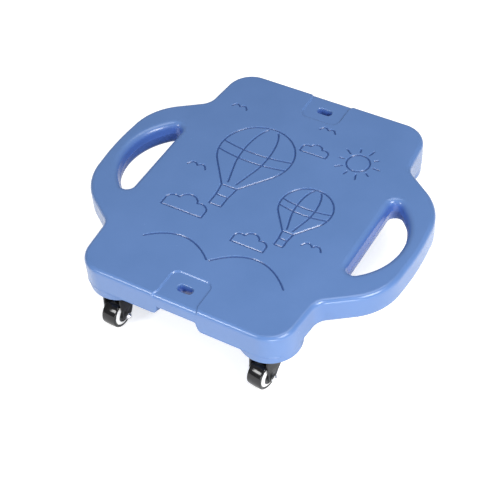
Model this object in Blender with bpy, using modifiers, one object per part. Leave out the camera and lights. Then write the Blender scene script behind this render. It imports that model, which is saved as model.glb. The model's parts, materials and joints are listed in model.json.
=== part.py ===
# Scooter board: a moulded deck with two hand grips, carried by four swivel casters.
# Metres, Z up from the floor. X runs from grip to grip, Y from the front edge to the back edge.

import math

import bmesh
import bpy
from mathutils import Matrix, Vector

# Clearances and facets
gap = 0.0003                  # between pieces that touch
run_gap = 0.0003              # radial, between a shaft and what turns on it
past = 0.0020                 # how far a cutting body runs on beyond the face that it cuts
facet_sag = 0.00030           # how far a flat facet may leave its true arc
sharp_angle = math.radians(35)  # edges that turn more than this are shaded sharp
flat_angle = math.radians(0.1)  # faces that turn less than this become one
weld_distance = 1e-5          # points closer than this become one

# Deck outline: the corners of one quarter, each with its rounding
end_x = 0.1402
end_y = 0.2000
end_round = 0.0360
waist_x = 0.1464
waist_y = 0.1240
waist_round = 0.0215
shoulder_x = 0.2105
shoulder_y = 0.0783
shoulder_round = 0.0770
grip_x = 0.2173
grip_round = 0.3400

# Deck section
deck_thick = 0.0365
rim_round_end = 0.0056        # top edge, front and back
rim_round_grip = 0.0090       # top edge, flanks and grips
foot_round_end = 0.0025       # bottom edge, front and back
foot_round_grip = 0.0065      # bottom edge, flanks and grips
round_blend = 0.0300          # length in X over which the one rounding grows into the other

# Hand openings
grip_width = 0.0230           # grip, from the deck's edge to the opening, at its middle
opening_x = 0.1510            # the opening's straight side
opening_arc = 0.0797          # radius of its outer side
opening_tip = 0.0080          # rounding of its two tips
opening_draft = 0.0010        # how far each side leans back from the parting line
mouth_start = math.radians(12)  # slope at which the mouths' rounding leaves the deck's face
mouth_lead = 0.45             # straight lead beyond it, as a share of the rounding
mouth_steps = 3
parting_drop = 0.0150         # parting line below the deck's top
mouth_round_board = 0.0080    # top mouth, board side
mouth_round_grip = 0.0090     # top mouth, grip side
base_round_board = 0.0100     # bottom mouth, board side
base_round_grip = 0.0130      # bottom mouth, grip side

# Tongue-shaped recess at the middle of the front and back edges
recess_width = 0.0526
recess_length = 0.0455
recess_depth = 0.0018
recess_round = 0.0090
recess_slope = 0.0016         # width of the sloping step round it
recess_rim_turn = math.radians(80)  # how far its floor follows the deck's rounded rim
recess_rim_steps = 4
recess_corner_steps = 4

# Rope slot in each recess
slot_inset = 0.0260           # slot's middle from the deck's edge
slot_length = 0.0180
slot_width = 0.0080
slot_round = 0.0035
slot_mouth = 0.0027           # rounding of the slot's mouth
slot_mouth_turn = math.radians(78)  # how far that rounding turns toward the recess's floor
slot_mouth_lead = 0.0016      # straight lead above the floor
slot_mouth_steps = 2
slot_corner_steps = 2

# Scoop under each rope slot, open at the edge
scoop_height = 0.0150
scoop_length = 0.0420
scoop_half_lip = 0.0320       # half width at the deck's bottom edge
scoop_half_top = 0.0285       # half width at the scoop's ceiling
scoop_taper = 0.3000          # half width lost for each metre inward
scoop_round = 0.0025
scoop_round_steps = 2

# Engraved picture: hot-air balloons over hills, with clouds and a sun
groove_half = 0.00125         # half width of an engraved line
groove_depth = 0.0012
picture_size = 0.1000         # the places and sizes below are shares of this
balloons = ((-0.40, 0.62, 0.50), (0.63, 0.04, 0.34))          # middle of each envelope, its radius
clouds = ((-0.72, -0.60, 0.60), (0.25, 0.98, 0.38), (0.30, -0.78, 0.46))  # middle of each, its width
sun = (0.84, 1.04, 0.15)
hills = ((-0.46, -1.24, 0.44, 0.20), (0.52, -1.24, 0.50, 0.26))  # middle of the foot, half width, height
balloon_foot = 1.35           # from the envelope's middle down to its mouth, in radii
balloon_shoulder = 0.62       # where the round envelope turns into straight flanks
balloon_mouth = 0.22          # half width of the mouth
balloon_seam = 0.36           # seams stand at this share of the half width
balloon_seam_gap = 0.14       # seams stop this far above the mouth
basket_gap = 0.36             # from the mouth down to the basket
basket_half = 0.17
basket_height = 0.34
cloud_bumps = ((-0.32, 0.03, 0.18), (-0.02, 0.13, 0.22), (0.29, 0.02, 0.19))  # middle and radius of each
cloud_base = -0.13

# Caster bosses
boss_radius = 0.0391
boss_drop = 0.0097            # below the deck's bottom
boss_root = 0.0035            # hidden height inside the deck
boss_round = 0.0012
boss_inset = 0.0003           # boss side behind the deck's wall
boss_round_steps = 2

# Wheel
wheel_radius = 0.0195
tread_half = 0.0086           # half width of the tread
tyre_half = 0.0099            # half width over the shoulders
shoulder_drop = 0.0022        # from the tread down to the tyre's side
seat_radius = 0.0125          # core, under the tyre
seat_half = 0.0065
ring_outer = 0.0153           # pale ring beside the tyre
ring_outer_half = 0.0096
ring_inner = 0.0108
ring_inner_half = 0.0114
bush_floor_half = 0.0090      # core's face under the bush's flange
bush_half = 0.0115            # outer face of the bush's flange
bush_wall = 0.0020
bush_part = 0.0010            # half the space between the two bushes inside the core

# Axle
bolt_radius = 0.0025
hex_flats = 0.0080
head_height = 0.0036
nut_height = 0.0046
bolt_over = 0.0014            # bolt end beyond the nut

# Fork
trail = 0.0190                # axle behind the kingpin
fork_sheet = 0.0020
leg_half = 0.0142             # to the outside of each leg
shoulder_half = 0.0126        # to the outside of the crown's bend
bend_rise = 0.0125            # axle up to the bend in each leg
bend_round = 0.0080
fork_rise = 0.0372            # axle up to the crown's top
crown_round = 0.0032
crown_radius = 0.0158
leg_end = 0.0067              # radius of the leg's lower end
leg_lean = math.radians(48)   # slope of the leg's leading edge
leg_front_rise = 0.0305       # axle up to the knee of the leg's trailing edge
leg_front_round = 0.0110
crown_slope = math.radians(30)

# Swivel
ball_radius = 0.0015
ball_circle = 0.0090
ball_count = 5
ball_steps = 6
ball_sink = 0.0003            # depth to which the balls sit in the crown's track
race_sheet = 0.0014
race_skirt = 0.0008           # skirt's lip above the crown
kingpin_radius = 0.0030
kingpin_head = 0.0060
kingpin_head_height = 0.0034
kingpin_foot = 0.0048
kingpin_foot_height = 0.0022
kingpin_crown = 0.75          # radius at which both ends round over, as a share of their own
kingpin_crown_height = 0.80   # the same for height

# Mounting plate
plate_length = 0.0500
plate_width = 0.0420
plate_thick = 0.0021
plate_round = 0.0060
plate_corner_steps = 3
screw_x = 0.0190
screw_y = 0.0140
screw_radius = 0.0019
screw_reach = 0.0100          # above the plate, inside the boss
screw_head = 0.0036
screw_head_height = 0.0022
screw_crown = 0.80            # radius at the top of the head, as a share of its own
screw_point = 0.0022
screw_room = 0.0010           # free depth beyond the screw's point
head_room = 0.0015            # free height over the kingpin's head

# Direction each caster has turned to at rest
rest_swivel = {
    "front_left": math.radians(-2.3),
    "front_right": math.radians(-7.0),
    "back_left": 0.0,
    "back_right": 0.0,
}

# Facets round turned pieces, roundings and engraved lines
wheel_steps = 18
boss_steps = 24
pin_steps = 12
screw_steps = 6
shoulder_steps = 2
balloon_steps = 9             # along each side of the envelope's round part
cloud_steps = 4               # round each bump
sun_steps = 10
hill_steps = 6
rim_steps = 4
foot_steps = 3

# Heights, worked out from the floor upward
axle_z = wheel_radius
crown_z = axle_z + fork_rise
ball_z = crown_z + ball_radius - ball_sink
race_z = ball_z + ball_radius + gap
plate_z = race_z + race_sheet + gap
plate_top = plate_z + plate_thick
boss_z = plate_top + gap
deck_z = boss_z + boss_drop
deck_top = deck_z + deck_thick

# Caster places, from the flank and the end wall of the deck
caster_y = end_y - boss_radius - boss_inset
flank_slope = (waist_x - end_x) / (end_y - waist_y)
flank_x = end_x + flank_slope * (end_y - caster_y)
caster_x = flank_x - (boss_radius + boss_inset) * math.hypot(1, flank_slope)

# Bores and inner lengths, from the pieces that run in them
axle_bore = bolt_radius + run_gap
bush_radius = axle_bore + bush_wall
core_bore = bush_radius + gap
kingpin_bore = kingpin_radius + run_gap
screw_bore = screw_radius + gap


def smoothstep(value, start, stop):
    t = min(max((value - start) / (stop - start), 0), 1)
    return t * t * (3 - 2 * t)


def arc_steps(radius, turn):
    chord = 2 * math.acos(1 - facet_sag / radius)
    return max(2, math.ceil(turn / chord))


# A path through corners given as (x, y, radius), each corner rounded by its radius.
def rounded(corners, steps=None, closed=True):
    points = []
    count = len(corners)
    for i, (x, y, radius) in enumerate(corners):
        here = Vector((x, y))
        is_end = not closed and i in (0, count - 1)
        if radius == 0 or is_end:
            points.append((x, y))
            continue
        to_last = (Vector(corners[i - 1][:2]) - here).normalized()
        to_next = (Vector(corners[(i + 1) % count][:2]) - here).normalized()
        half = to_last.angle(to_next) / 2
        centre = here + (to_last + to_next).normalized() * radius / math.sin(half)
        start = here + to_last * radius / math.tan(half) - centre
        turn = math.pi - 2 * half
        side = 1 if to_last.cross(to_next) < 0 else -1
        arc = steps or arc_steps(radius, turn)
        for k in range(arc + 1):
            spoke = Matrix.Rotation(side * turn * k / arc, 2) @ start
            points.append(tuple(centre + spoke))
    return points


def material(name, colour, roughness, metallic=0.0):
    surface = bpy.data.materials.new(name)
    surface.use_nodes = True
    shader = surface.node_tree.nodes["Principled BSDF"]
    shader.inputs["Base Color"].default_value = (*colour, 1)
    shader.inputs["Roughness"].default_value = roughness
    shader.inputs["Metallic"].default_value = metallic
    surface.diffuse_color = (*colour, 1)
    return surface


def add(name, data, group):
    body = bpy.data.objects.new(name, data)
    group.objects.link(body)
    return body


def shade(mesh):
    mesh.shade_smooth()
    mesh.set_sharp_from_angle(angle=sharp_angle)


# An object's evaluated mesh, as a new plain object in the same place.
def baked(body, group, weld=False):
    bpy.context.view_layer.update()
    seen = body.evaluated_get(bpy.context.evaluated_depsgraph_get())
    mesh = bpy.data.meshes.new_from_object(seen)
    if weld:
        bm = bmesh.new()
        bm.from_mesh(mesh)
        bmesh.ops.remove_doubles(bm, verts=bm.verts, dist=weld_distance)
        bmesh.ops.dissolve_limit(bm, angle_limit=flat_angle, verts=bm.verts, edges=bm.edges)
        bmesh.ops.recalc_face_normals(bm, faces=bm.faces)
        bm.to_mesh(mesh)
        bm.free()
    shade(mesh)
    solid = add(body.name, mesh, group)
    solid.matrix_world = body.matrix_world
    name = body.name
    bpy.data.objects.remove(body)
    solid.name = name
    return solid


# A flat plate from one outline, with any holes as further outlines, centred on z = 0.
def plate(name, outlines, thick, group):
    curve = bpy.data.curves.new(name, "CURVE")
    curve.dimensions = "2D"
    curve.fill_mode = "BOTH"
    curve.extrude = thick / 2
    for outline in outlines:
        spline = curve.splines.new("POLY")
        spline.points.add(len(outline) - 1)
        for point, (x, y) in zip(spline.points, outline):
            point.co = (x, y, 0, 1)
        spline.use_cyclic_u = True
    return baked(add(name, curve, group), group, weld=True)


# A body turned about Z from a profile of (radius, z) points, top of the outer side first.
def turned(name, profile, steps, group, ring=False):
    count = len(profile)
    edges = [(i, i + 1) for i in range(count - 1)]
    if ring:
        edges.append((count - 1, 0))
    mesh = bpy.data.meshes.new(name)
    mesh.from_pydata([(r, 0, z) for r, z in profile], edges, [])
    body = add(name, mesh, group)
    screw = body.modifiers.new("Turn", "SCREW")
    screw.steps = steps
    screw.render_steps = steps
    screw.use_merge_vertices = True
    screw.merge_threshold = weld_distance
    return baked(body, group)


# A body through flat rings of (x, y) points at falling heights, all with the same count.
def loft(name, levels, group):
    bm = bmesh.new()
    rings = []
    for z, ring in levels:
        rings.append([bm.verts.new((x, y, z)) for x, y in ring])
    for upper, lower in zip(rings, rings[1:]):
        for i in range(len(upper)):
            bm.faces.new((upper[i - 1], lower[i - 1], lower[i], upper[i]))
    bm.faces.new(rings[0])
    bm.faces.new(rings[-1])
    bmesh.ops.recalc_face_normals(bm, faces=bm.faces)
    mesh = bpy.data.meshes.new(name)
    bm.to_mesh(mesh)
    bm.free()
    return add(name, mesh, group)


def circle(radius, steps, x=0.0, y=0.0):
    angles = [2 * math.pi * k / steps for k in range(steps)]
    return [(x + radius * math.cos(a), y + radius * math.sin(a)) for a in angles]


def mirror(body, across_x=True, across_y=False):
    modifier = body.modifiers.new("Mirror", "MIRROR")
    modifier.use_axis = (across_x, across_y, False)
    modifier.use_mirror_merge = False
    modifier.merge_threshold = weld_distance


def boolean(body, operation, operand):
    modifier = body.modifiers.new(operation.title(), "BOOLEAN")
    modifier.operation = operation
    modifier.solver = "EXACT"
    if isinstance(operand, bpy.types.Collection):
        modifier.operand_type = "COLLECTION"
        modifier.collection = operand
    else:
        modifier.object = operand


def hide(body):
    body.hide_render = True
    body.display_type = "WIRE"
    return body


def new_group(name, parent):
    group = bpy.data.collections.new(name)
    parent.children.link(group)
    return group


# Deck

def quarter_corners():
    return [
        (shoulder_x, shoulder_y, shoulder_round),
        (waist_x, waist_y, waist_round),
        (end_x, end_y, end_round),
    ]


def deck_corners():
    right_back = quarter_corners()
    left_back = [(-x, y, r) for x, y, r in reversed(right_back)]
    left_front = [(-x, -y, r) for x, y, r in right_back]
    right_front = [(x, -y, r) for x, y, r in reversed(right_back)]
    right_tip = [(grip_x, 0, grip_round)]
    left_tip = [(-grip_x, 0, grip_round)]
    return right_tip + right_back + left_back + left_tip + left_front + right_front


# How far the grip's rounded tip reaches, inside its sharp corner.
def grip_reach():
    half = math.atan2(shoulder_y, grip_x - shoulder_x)
    return grip_x - grip_round * (1 / math.sin(half) - 1)


# The outline's edges carry the share of the largest rounding that each of them gets.
def mark_rounding(mesh, name, z, at_end, at_grip):
    shares = mesh.attributes.new(name, "FLOAT", "EDGE")
    for edge in mesh.edges:
        ends = [mesh.vertices[i].co for i in edge.vertices]
        if all(abs(end.z - z) < gap for end in ends):
            x = abs(ends[0].x + ends[1].x) / 2
            blend = smoothstep(x, end_x - round_blend / 2, end_x + round_blend / 2)
            radius = at_end + (at_grip - at_end) * blend
            shares.data[edge.index].value = radius / max(at_end, at_grip)


def round_edges(body, name, width, segments):
    bevel = body.modifiers.new(name, "BEVEL")
    bevel.limit_method = "WEIGHT"
    bevel.edge_weight = name
    bevel.width = width
    bevel.segments = segments


# The opening's plan, with its straight side and its arc moved outward by the two shifts:
# the arc's centre and radius, the tip's centre and radius, and the angle at which they meet.
def opening_plan(board_shift, grip_shift):
    arc_x = grip_reach() - grip_width - opening_arc
    arc = opening_arc + grip_shift
    tip = opening_tip + (board_shift + grip_shift) / 2
    tip_x = opening_x - board_shift + tip
    tip_y = math.sqrt((arc - tip) ** 2 - (tip_x - arc_x) ** 2)
    return arc_x, arc, tip_x, tip_y, tip, math.atan2(tip_y, tip_x - arc_x)


def opening_ring(board_shift, grip_shift):
    narrow = opening_plan(0, 0)[-1]
    arc_count = arc_steps(opening_arc, 2 * narrow)
    tip_count = arc_steps(opening_tip, math.pi - narrow)
    arc_x, arc, tip_x, tip_y, tip, meet = opening_plan(board_shift, grip_shift)
    points = []
    for k in range(arc_count + 1):
        a = meet * (2 * k / arc_count - 1)
        points.append((arc_x + arc * math.cos(a), arc * math.sin(a)))
    for k in range(1, tip_count + 1):
        a = meet + (math.pi - meet) * k / tip_count
        points.append((tip_x + tip * math.cos(a), tip_y + tip * math.sin(a)))
    for k in range(tip_count):
        a = math.pi + (math.pi - meet) * k / tip_count
        points.append((tip_x + tip * math.cos(a), -tip_y + tip * math.sin(a)))
    return points


# Rings down one rounded mouth of the opening, from outside the deck's face to the wall inside.
# The round stops short of level, and a straight lead leaves the face cleanly.
def mouth_levels(face_z, inward, board_round, grip_round_here):
    lead_drop = mouth_lead * math.tan(mouth_start)
    steps = [(1 - math.sin(mouth_start) + mouth_lead, 1 - math.cos(mouth_start) - lead_drop)]
    for k in range(mouth_steps + 1):
        a = mouth_start + (math.pi / 2 - mouth_start) * k / mouth_steps
        steps.append((1 - math.sin(a), 1 - math.cos(a)))
    drop = max(board_round, grip_round_here)
    levels = []
    for across, down in steps:
        board_shift = opening_draft + board_round * across
        grip_shift = opening_draft + grip_round_here * across
        levels.append((face_z + inward * drop * down, opening_ring(board_shift, grip_shift)))
    return levels


def make_opening_cutter(group):
    top = mouth_levels(deck_top, -1, mouth_round_board, mouth_round_grip)
    parting = [(deck_top - parting_drop, opening_ring(0, 0))]
    base = mouth_levels(deck_z, 1, base_round_board, base_round_grip)
    cutter = loft("hand_openings", top + parting + base[::-1], group)
    mirror(cutter)
    return hide(cutter)


# The recess follows the deck's rounded rim: a tongue-shaped block, less the lowered section of the deck.
def make_recess_cutter(group, helpers):
    outside = rim_round_end + past
    inner_y = end_y - recess_length
    floor = deck_top - recess_depth
    bottom = floor - 2 * rim_round_end

    def tongue(z):
        grow = recess_slope * max(z - floor, 0) / recess_depth
        side = recess_width / 2 + grow
        corners = [
            (side, end_y + outside, 0),
            (side, inner_y - grow, recess_round + grow),
            (-side, inner_y - grow, recess_round + grow),
            (-side, end_y + outside, 0),
        ]
        return rounded(corners, steps=recess_corner_steps)

    levels = [(z, tongue(z)) for z in (deck_top + past, floor, bottom)]
    cutter = loft("tongue_recesses", levels, group)

    rim = []
    for k in range(recess_rim_steps + 1):
        a = recess_rim_turn * k / recess_rim_steps
        across = end_y - rim_round_end * (1 - math.sin(a))
        rim.append((across, floor - rim_round_end * (1 - math.cos(a))))
    under = bottom - past
    last_y, last_z = rim[-1]
    rim.append((last_y + (last_z - under) / math.tan(recess_rim_turn), under))
    section = [(inner_y - outside, under), (inner_y - outside, floor)] + rim
    keep = plate("recess_floor", [section], recess_width + 4 * outside, helpers)
    keep.rotation_euler = (math.pi / 2, 0, math.pi / 2)
    hide(keep)
    boolean(cutter, "DIFFERENCE", keep)
    mirror(cutter, across_x=False, across_y=True)
    return hide(cutter)


def slot_ring(grow):
    x = slot_length / 2 + grow
    y = slot_width / 2 + grow
    middle = end_y - slot_inset
    radius = slot_round + grow
    low = middle - y
    high = middle + y
    corners = [(x, low, radius), (x, high, radius), (-x, high, radius), (-x, low, radius)]
    return rounded(corners, steps=slot_corner_steps)


def make_slot_cutter(group):
    floor = deck_top - recess_depth
    lead_out = slot_mouth_lead * math.tan(slot_mouth_turn)
    levels = [(floor + slot_mouth_lead, slot_ring(slot_mouth + lead_out))]
    for k in range(slot_mouth_steps + 1):
        a = slot_mouth_turn * (1 - k / slot_mouth_steps)
        levels.append((floor - slot_mouth * (1 - math.sin(a)), slot_ring(slot_mouth * (1 - math.cos(a)))))
    levels.append((deck_z + scoop_height / 2, slot_ring(0)))
    cutter = loft("rope_slots", levels, group)
    mirror(cutter, across_x=False, across_y=True)
    return hide(cutter)


# Block with sloping sides that also close in toward the middle of the deck.
def make_scoop_cutter(group):
    outside = scoop_round + past
    bm = bmesh.new()
    bmesh.ops.create_cube(bm, size=2)
    lean = (scoop_half_lip - scoop_half_top) / scoop_height
    for vert in bm.verts:
        side, end, up = (math.copysign(1, c) for c in vert.co)
        depth = -outside if end > 0 else scoop_length
        height = scoop_height if up > 0 else -outside
        half = scoop_half_lip - lean * height - scoop_taper * depth
        vert.co = (side * half, end_y - depth, deck_z + height)
    mesh = bpy.data.meshes.new("scoops")
    bm.to_mesh(mesh)
    bm.free()
    cutter = add("scoops", mesh, group)
    bevel = cutter.modifiers.new("Round", "BEVEL")
    bevel.width = scoop_round
    bevel.segments = scoop_round_steps
    mirror(cutter, across_x=False, across_y=True)
    return hide(cutter)


def four_corners(body):
    body.location = (caster_x, caster_y, 0)
    centre = bpy.data.objects["deck_centre"]
    modifier = body.modifiers.new("Corners", "MIRROR")
    modifier.use_axis = (True, True, False)
    modifier.use_mirror_merge = False
    modifier.merge_threshold = weld_distance
    modifier.mirror_object = centre
    return hide(body)


def make_bosses(group):
    profile = [(0, deck_z + boss_root), (boss_radius, deck_z + boss_root)]
    for k in range(boss_round_steps + 1):
        a = math.pi / 2 * k / boss_round_steps
        radius = boss_radius - boss_round * (1 - math.cos(a))
        profile.append((radius, boss_z + boss_round * (1 - math.sin(a))))
    profile.append((0, boss_z))
    return four_corners(turned("bosses", profile, boss_steps, group))


# A straight round bore up into each boss, from just below its face.
def make_bore(name, radius, depth, steps, group, x=0.0, y=0.0):
    height = depth + past
    bore = rod(name, radius, height, steps, group)
    bore.data.transform(Matrix.Translation((x, y, boss_z - past + height / 2)))
    return four_corners(bore)


# The V section that every engraved line has, from its bottom up past the deck's face.
def groove_section(group):
    height = groove_depth + past
    half = groove_half * height / groove_depth
    section = bpy.data.curves.new("groove_section", "CURVE")
    spline = section.splines.new("POLY")
    spline.points.add(2)
    for point, (x, y) in zip(spline.points, [(0, -groove_depth), (half, past), (-half, past)]):
        point.co = (x, y, 0, 1)
    spline.use_cyclic_u = True
    return hide(add("groove_section", section, group))


# An engraved line: the V section swept along a path over the deck's flat top.
def groove(name, path, section, group, closed=False):
    curve = bpy.data.curves.new(name, "CURVE")
    curve.dimensions = "3D"
    curve.twist_mode = "Z_UP"
    curve.bevel_mode = "OBJECT"
    curve.bevel_object = section
    curve.use_fill_caps = not closed
    spline = curve.splines.new("POLY")
    spline.points.add(len(path) - 1)
    for point, (x, y) in zip(spline.points, path):
        point.co = (x, y, deck_top, 1)
    spline.use_cyclic_u = closed
    return hide(baked(add(name, curve, group), group, weld=True))


# Half width of a balloon's envelope at a height from its middle, both in radii.
def balloon_half(height):
    if height > -balloon_shoulder:
        return math.sqrt(max(1 - height * height, 0))
    widest = math.sqrt(1 - balloon_shoulder ** 2)
    share = (-balloon_shoulder - height) / (balloon_foot - balloon_shoulder)
    return widest + (balloon_mouth - widest) * share


def engrave_balloon(x, y, radius, section, group):
    flank = []
    for k in range(balloon_steps + 1):
        a = math.pi / 2 - (math.pi / 2 + math.asin(balloon_shoulder)) * k / balloon_steps
        flank.append((balloon_half(math.sin(a)), math.sin(a)))
    flank.append((balloon_mouth, -balloon_foot))
    outline = flank + [(-half, height) for half, height in flank[:0:-1]]
    envelope = [(x + radius * half, y + radius * height) for half, height in outline]
    groove("balloon", envelope, section, group, closed=True)
    low = balloon_seam_gap - balloon_foot
    inner = flank[2:-1] + [(balloon_half(low), low)]
    for side in (-balloon_seam, balloon_seam):
        seam = [(x + side * radius * half, y + radius * height) for half, height in inner]
        groove("balloon_seam", seam, section, group)
    top = y - radius * (balloon_foot + basket_gap)
    bottom = top - radius * basket_height
    half = radius * basket_half
    basket = [(x - half, top), (x + half, top), (x + half, bottom), (x - half, bottom)]
    groove("balloon_basket", basket, section, group, closed=True)


# A cloud: the upper side of three overlapping round bumps on a level base.
def engrave_cloud(x, y, width, section, group):
    left_x, left_y, left_radius = cloud_bumps[0]
    right_x, right_y, right_radius = cloud_bumps[-1]
    joins = [crossing(left, right) for left, right in zip(cloud_bumps, cloud_bumps[1:])]
    starts = [math.pi - math.asin((cloud_base - left_y) / left_radius)] + [after for before, after in joins]
    stops = [before for before, after in joins] + [math.asin((cloud_base - right_y) / right_radius)]
    path = []
    for i, (bump_x, bump_y, radius) in enumerate(cloud_bumps):
        for k in range(min(i, 1), cloud_steps + 1):
            a = starts[i] + (stops[i] - starts[i]) * k / cloud_steps
            across = bump_x + radius * math.cos(a)
            up = bump_y + radius * math.sin(a)
            path.append((x + width * across, y + width * up))
    groove("cloud", path, section, group, closed=True)


# The angles, seen from each of two circles' middles, of the upper point where they cross.
def crossing(left, right):
    left_x, left_y, left_radius = left
    right_x, right_y, right_radius = right
    away = math.hypot(right_x - left_x, right_y - left_y)
    heading = math.atan2(right_y - left_y, right_x - left_x)
    from_left = math.acos((left_radius ** 2 + away ** 2 - right_radius ** 2) / (2 * left_radius * away))
    from_right = math.acos((right_radius ** 2 + away ** 2 - left_radius ** 2) / (2 * right_radius * away))
    return heading + from_left, heading + math.pi - from_right


def engrave_picture(group, helpers):
    section = groove_section(helpers)
    for motif in balloons:
        x, y, radius = (picture_size * share for share in motif)
        engrave_balloon(x, y, radius, section, group)
    for motif in clouds:
        x, y, width = (picture_size * share for share in motif)
        engrave_cloud(x, y, width, section, group)
    for motif in hills:
        x, y, half, height = (picture_size * share for share in motif)
        spread = [2 * k / hill_steps - 1 for k in range(hill_steps + 1)]
        groove("hill", [(x + half * s, y + height * (1 - s * s)) for s in spread], section, group)
    x, y, radius = (picture_size * share for share in sun)
    groove("sun", circle(radius, sun_steps, x, y), section, group, closed=True)


def make_deck(group, bosses, cutters, helpers):
    middle = (deck_z + deck_top) / 2
    deck = plate("deck", [rounded(deck_corners())], deck_thick, group)
    deck.data.transform(Matrix.Translation((0, 0, middle)))
    mark_rounding(deck.data, "rim", deck_top, rim_round_end, rim_round_grip)
    mark_rounding(deck.data, "foot", deck_z, foot_round_end, foot_round_grip)
    round_edges(deck, "rim", max(rim_round_end, rim_round_grip), rim_steps)
    round_edges(deck, "foot", max(foot_round_end, foot_round_grip), foot_steps)

    make_bosses(bosses)
    boolean(deck, "UNION", bosses)

    make_opening_cutter(cutters)
    make_recess_cutter(cutters, helpers)
    make_slot_cutter(cutters)
    make_scoop_cutter(cutters)
    engrave_picture(cutters, helpers)
    pocket = kingpin_head_height + head_room
    make_bore("kingpin_pockets", kingpin_head + head_room, pocket, pin_steps, cutters)
    for x in (-screw_x, screw_x):
        for y in (-screw_y, screw_y):
            make_bore("screw_pilots", screw_bore, screw_reach + screw_room, screw_steps, cutters, x, y)
    boolean(deck, "DIFFERENCE", cutters)
    return deck


# Caster pieces. Each stands about the kingpin's axis, or lies about the axle's.

def caster_plate(group):
    x = plate_length / 2
    y = plate_width / 2
    corners = [(x, -y, plate_round), (x, y, plate_round), (-x, y, plate_round), (-x, -y, plate_round)]
    outlines = [rounded(corners, steps=plate_corner_steps), circle(kingpin_bore, pin_steps)]
    for hole_x in (-screw_x, screw_x):
        for hole_y in (-screw_y, screw_y):
            outlines.append(circle(screw_bore, screw_steps, hole_x, hole_y))
    piece = plate("mount_plate", outlines, plate_thick, group)
    piece.data.transform(Matrix.Translation((0, 0, (plate_z + plate_top) / 2)))
    return piece


def caster_screw(group):
    seat = plate_z - gap
    tip = plate_top + screw_reach
    profile = [
        (0, tip),
        (screw_radius, tip - screw_point),
        (screw_radius, seat),
        (screw_head, seat),
        (screw_head * screw_crown, seat - screw_head_height),
        (0, seat - screw_head_height),
    ]
    return turned("plate_screw", profile, screw_steps, group)


def caster_kingpin(group):
    seat = plate_top + gap
    foot = crown_z - fork_sheet - gap
    profile = [
        (0, seat + kingpin_head_height),
        (kingpin_head * kingpin_crown, seat + kingpin_head_height * kingpin_crown_height),
        (kingpin_head, seat),
        (kingpin_radius, seat),
        (kingpin_radius, foot),
        (kingpin_foot, foot),
        (kingpin_foot * kingpin_crown, foot - kingpin_foot_height * kingpin_crown_height),
        (0, foot - kingpin_foot_height),
    ]
    return turned("kingpin", profile, pin_steps, group)


def caster_race(group):
    inner = ball_circle + ball_radius + gap
    outer = inner + race_sheet
    top = race_z + race_sheet
    lip = crown_z + race_skirt
    profile = [
        (kingpin_bore, top),
        (outer - race_sheet / 2, top),
        (outer, top - race_sheet / 2),
        (outer, lip),
        (inner, lip),
        (inner, race_z),
        (kingpin_bore, race_z),
    ]
    return turned("upper_race", profile, pin_steps, group, ring=True)


# The race's balls, which sit in the crown's track and are one solid with it here.
def make_balls(group):
    balls = new_group("race_balls", group)
    for k in range(ball_count):
        a = 2 * math.pi * (k + 0.5) / ball_count
        bm = bmesh.new()
        bmesh.ops.create_uvsphere(bm, u_segments=ball_steps, v_segments=ball_steps - 2, radius=ball_radius)
        mesh = bpy.data.meshes.new("race_ball")
        bm.to_mesh(mesh)
        bm.free()
        ball = add("race_ball", mesh, balls)
        ball.location = (ball_circle * math.cos(a), ball_circle * math.sin(a), ball_z)
        hide(ball)
    return balls


# The fork's cross section: crown, two bends and two legs, as the outer skin of the sheet.
def fork_skin(group):
    front = -trail - leg_end - past
    back = crown_radius + past
    foot = axle_z - leg_end - past
    bend = axle_z + bend_rise
    corners = [
        (leg_half, foot, 0),
        (leg_half, bend, bend_round),
        (shoulder_half, crown_z, crown_round),
        (-shoulder_half, crown_z, crown_round),
        (-leg_half, bend, bend_round),
        (-leg_half, foot, 0),
    ]
    section = rounded(corners, closed=False)
    mesh = bpy.data.meshes.new("fork")
    near = [(x, front, z) for x, z in section]
    mesh.from_pydata(near, [(i, i + 1) for i in range(len(near) - 1)], [])
    bm = bmesh.new()
    bm.from_mesh(mesh)
    sweep = bmesh.ops.extrude_edge_only(bm, edges=bm.edges[:])
    moved = [item for item in sweep["geom"] if isinstance(item, bmesh.types.BMVert)]
    bmesh.ops.translate(bm, verts=moved, vec=(0, back - front, 0))
    for face in bm.faces:
        if face.calc_center_median().x * face.normal.x + face.normal.z < 0:
            face.normal_flip()
    bm.to_mesh(mesh)
    bm.free()
    skin = add("fork", mesh, group)
    sheet = skin.modifiers.new("Sheet", "SOLIDIFY")
    sheet.thickness = fork_sheet
    sheet.offset = -1
    sheet.use_even_offset = True
    return skin


# The legs' outline seen from the side, as (y, z) corners.
def leg_outline():
    axle_y = -trail
    front = axle_y - leg_end
    back = crown_radius + past
    over = crown_z + past
    knee = axle_z + leg_front_rise
    lean_y = axle_y + leg_end / math.sin(leg_lean)
    return rounded([
        (front, axle_z - leg_end, leg_end),
        (axle_y + leg_end * math.tan(leg_lean / 2), axle_z - leg_end, leg_end),
        (back, axle_z + (back - lean_y) * math.tan(leg_lean), crown_round),
        (back, over, 0),
        (front + (over - knee) / math.tan(crown_slope), over, 0),
        (front, knee, leg_front_round),
    ])


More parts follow.
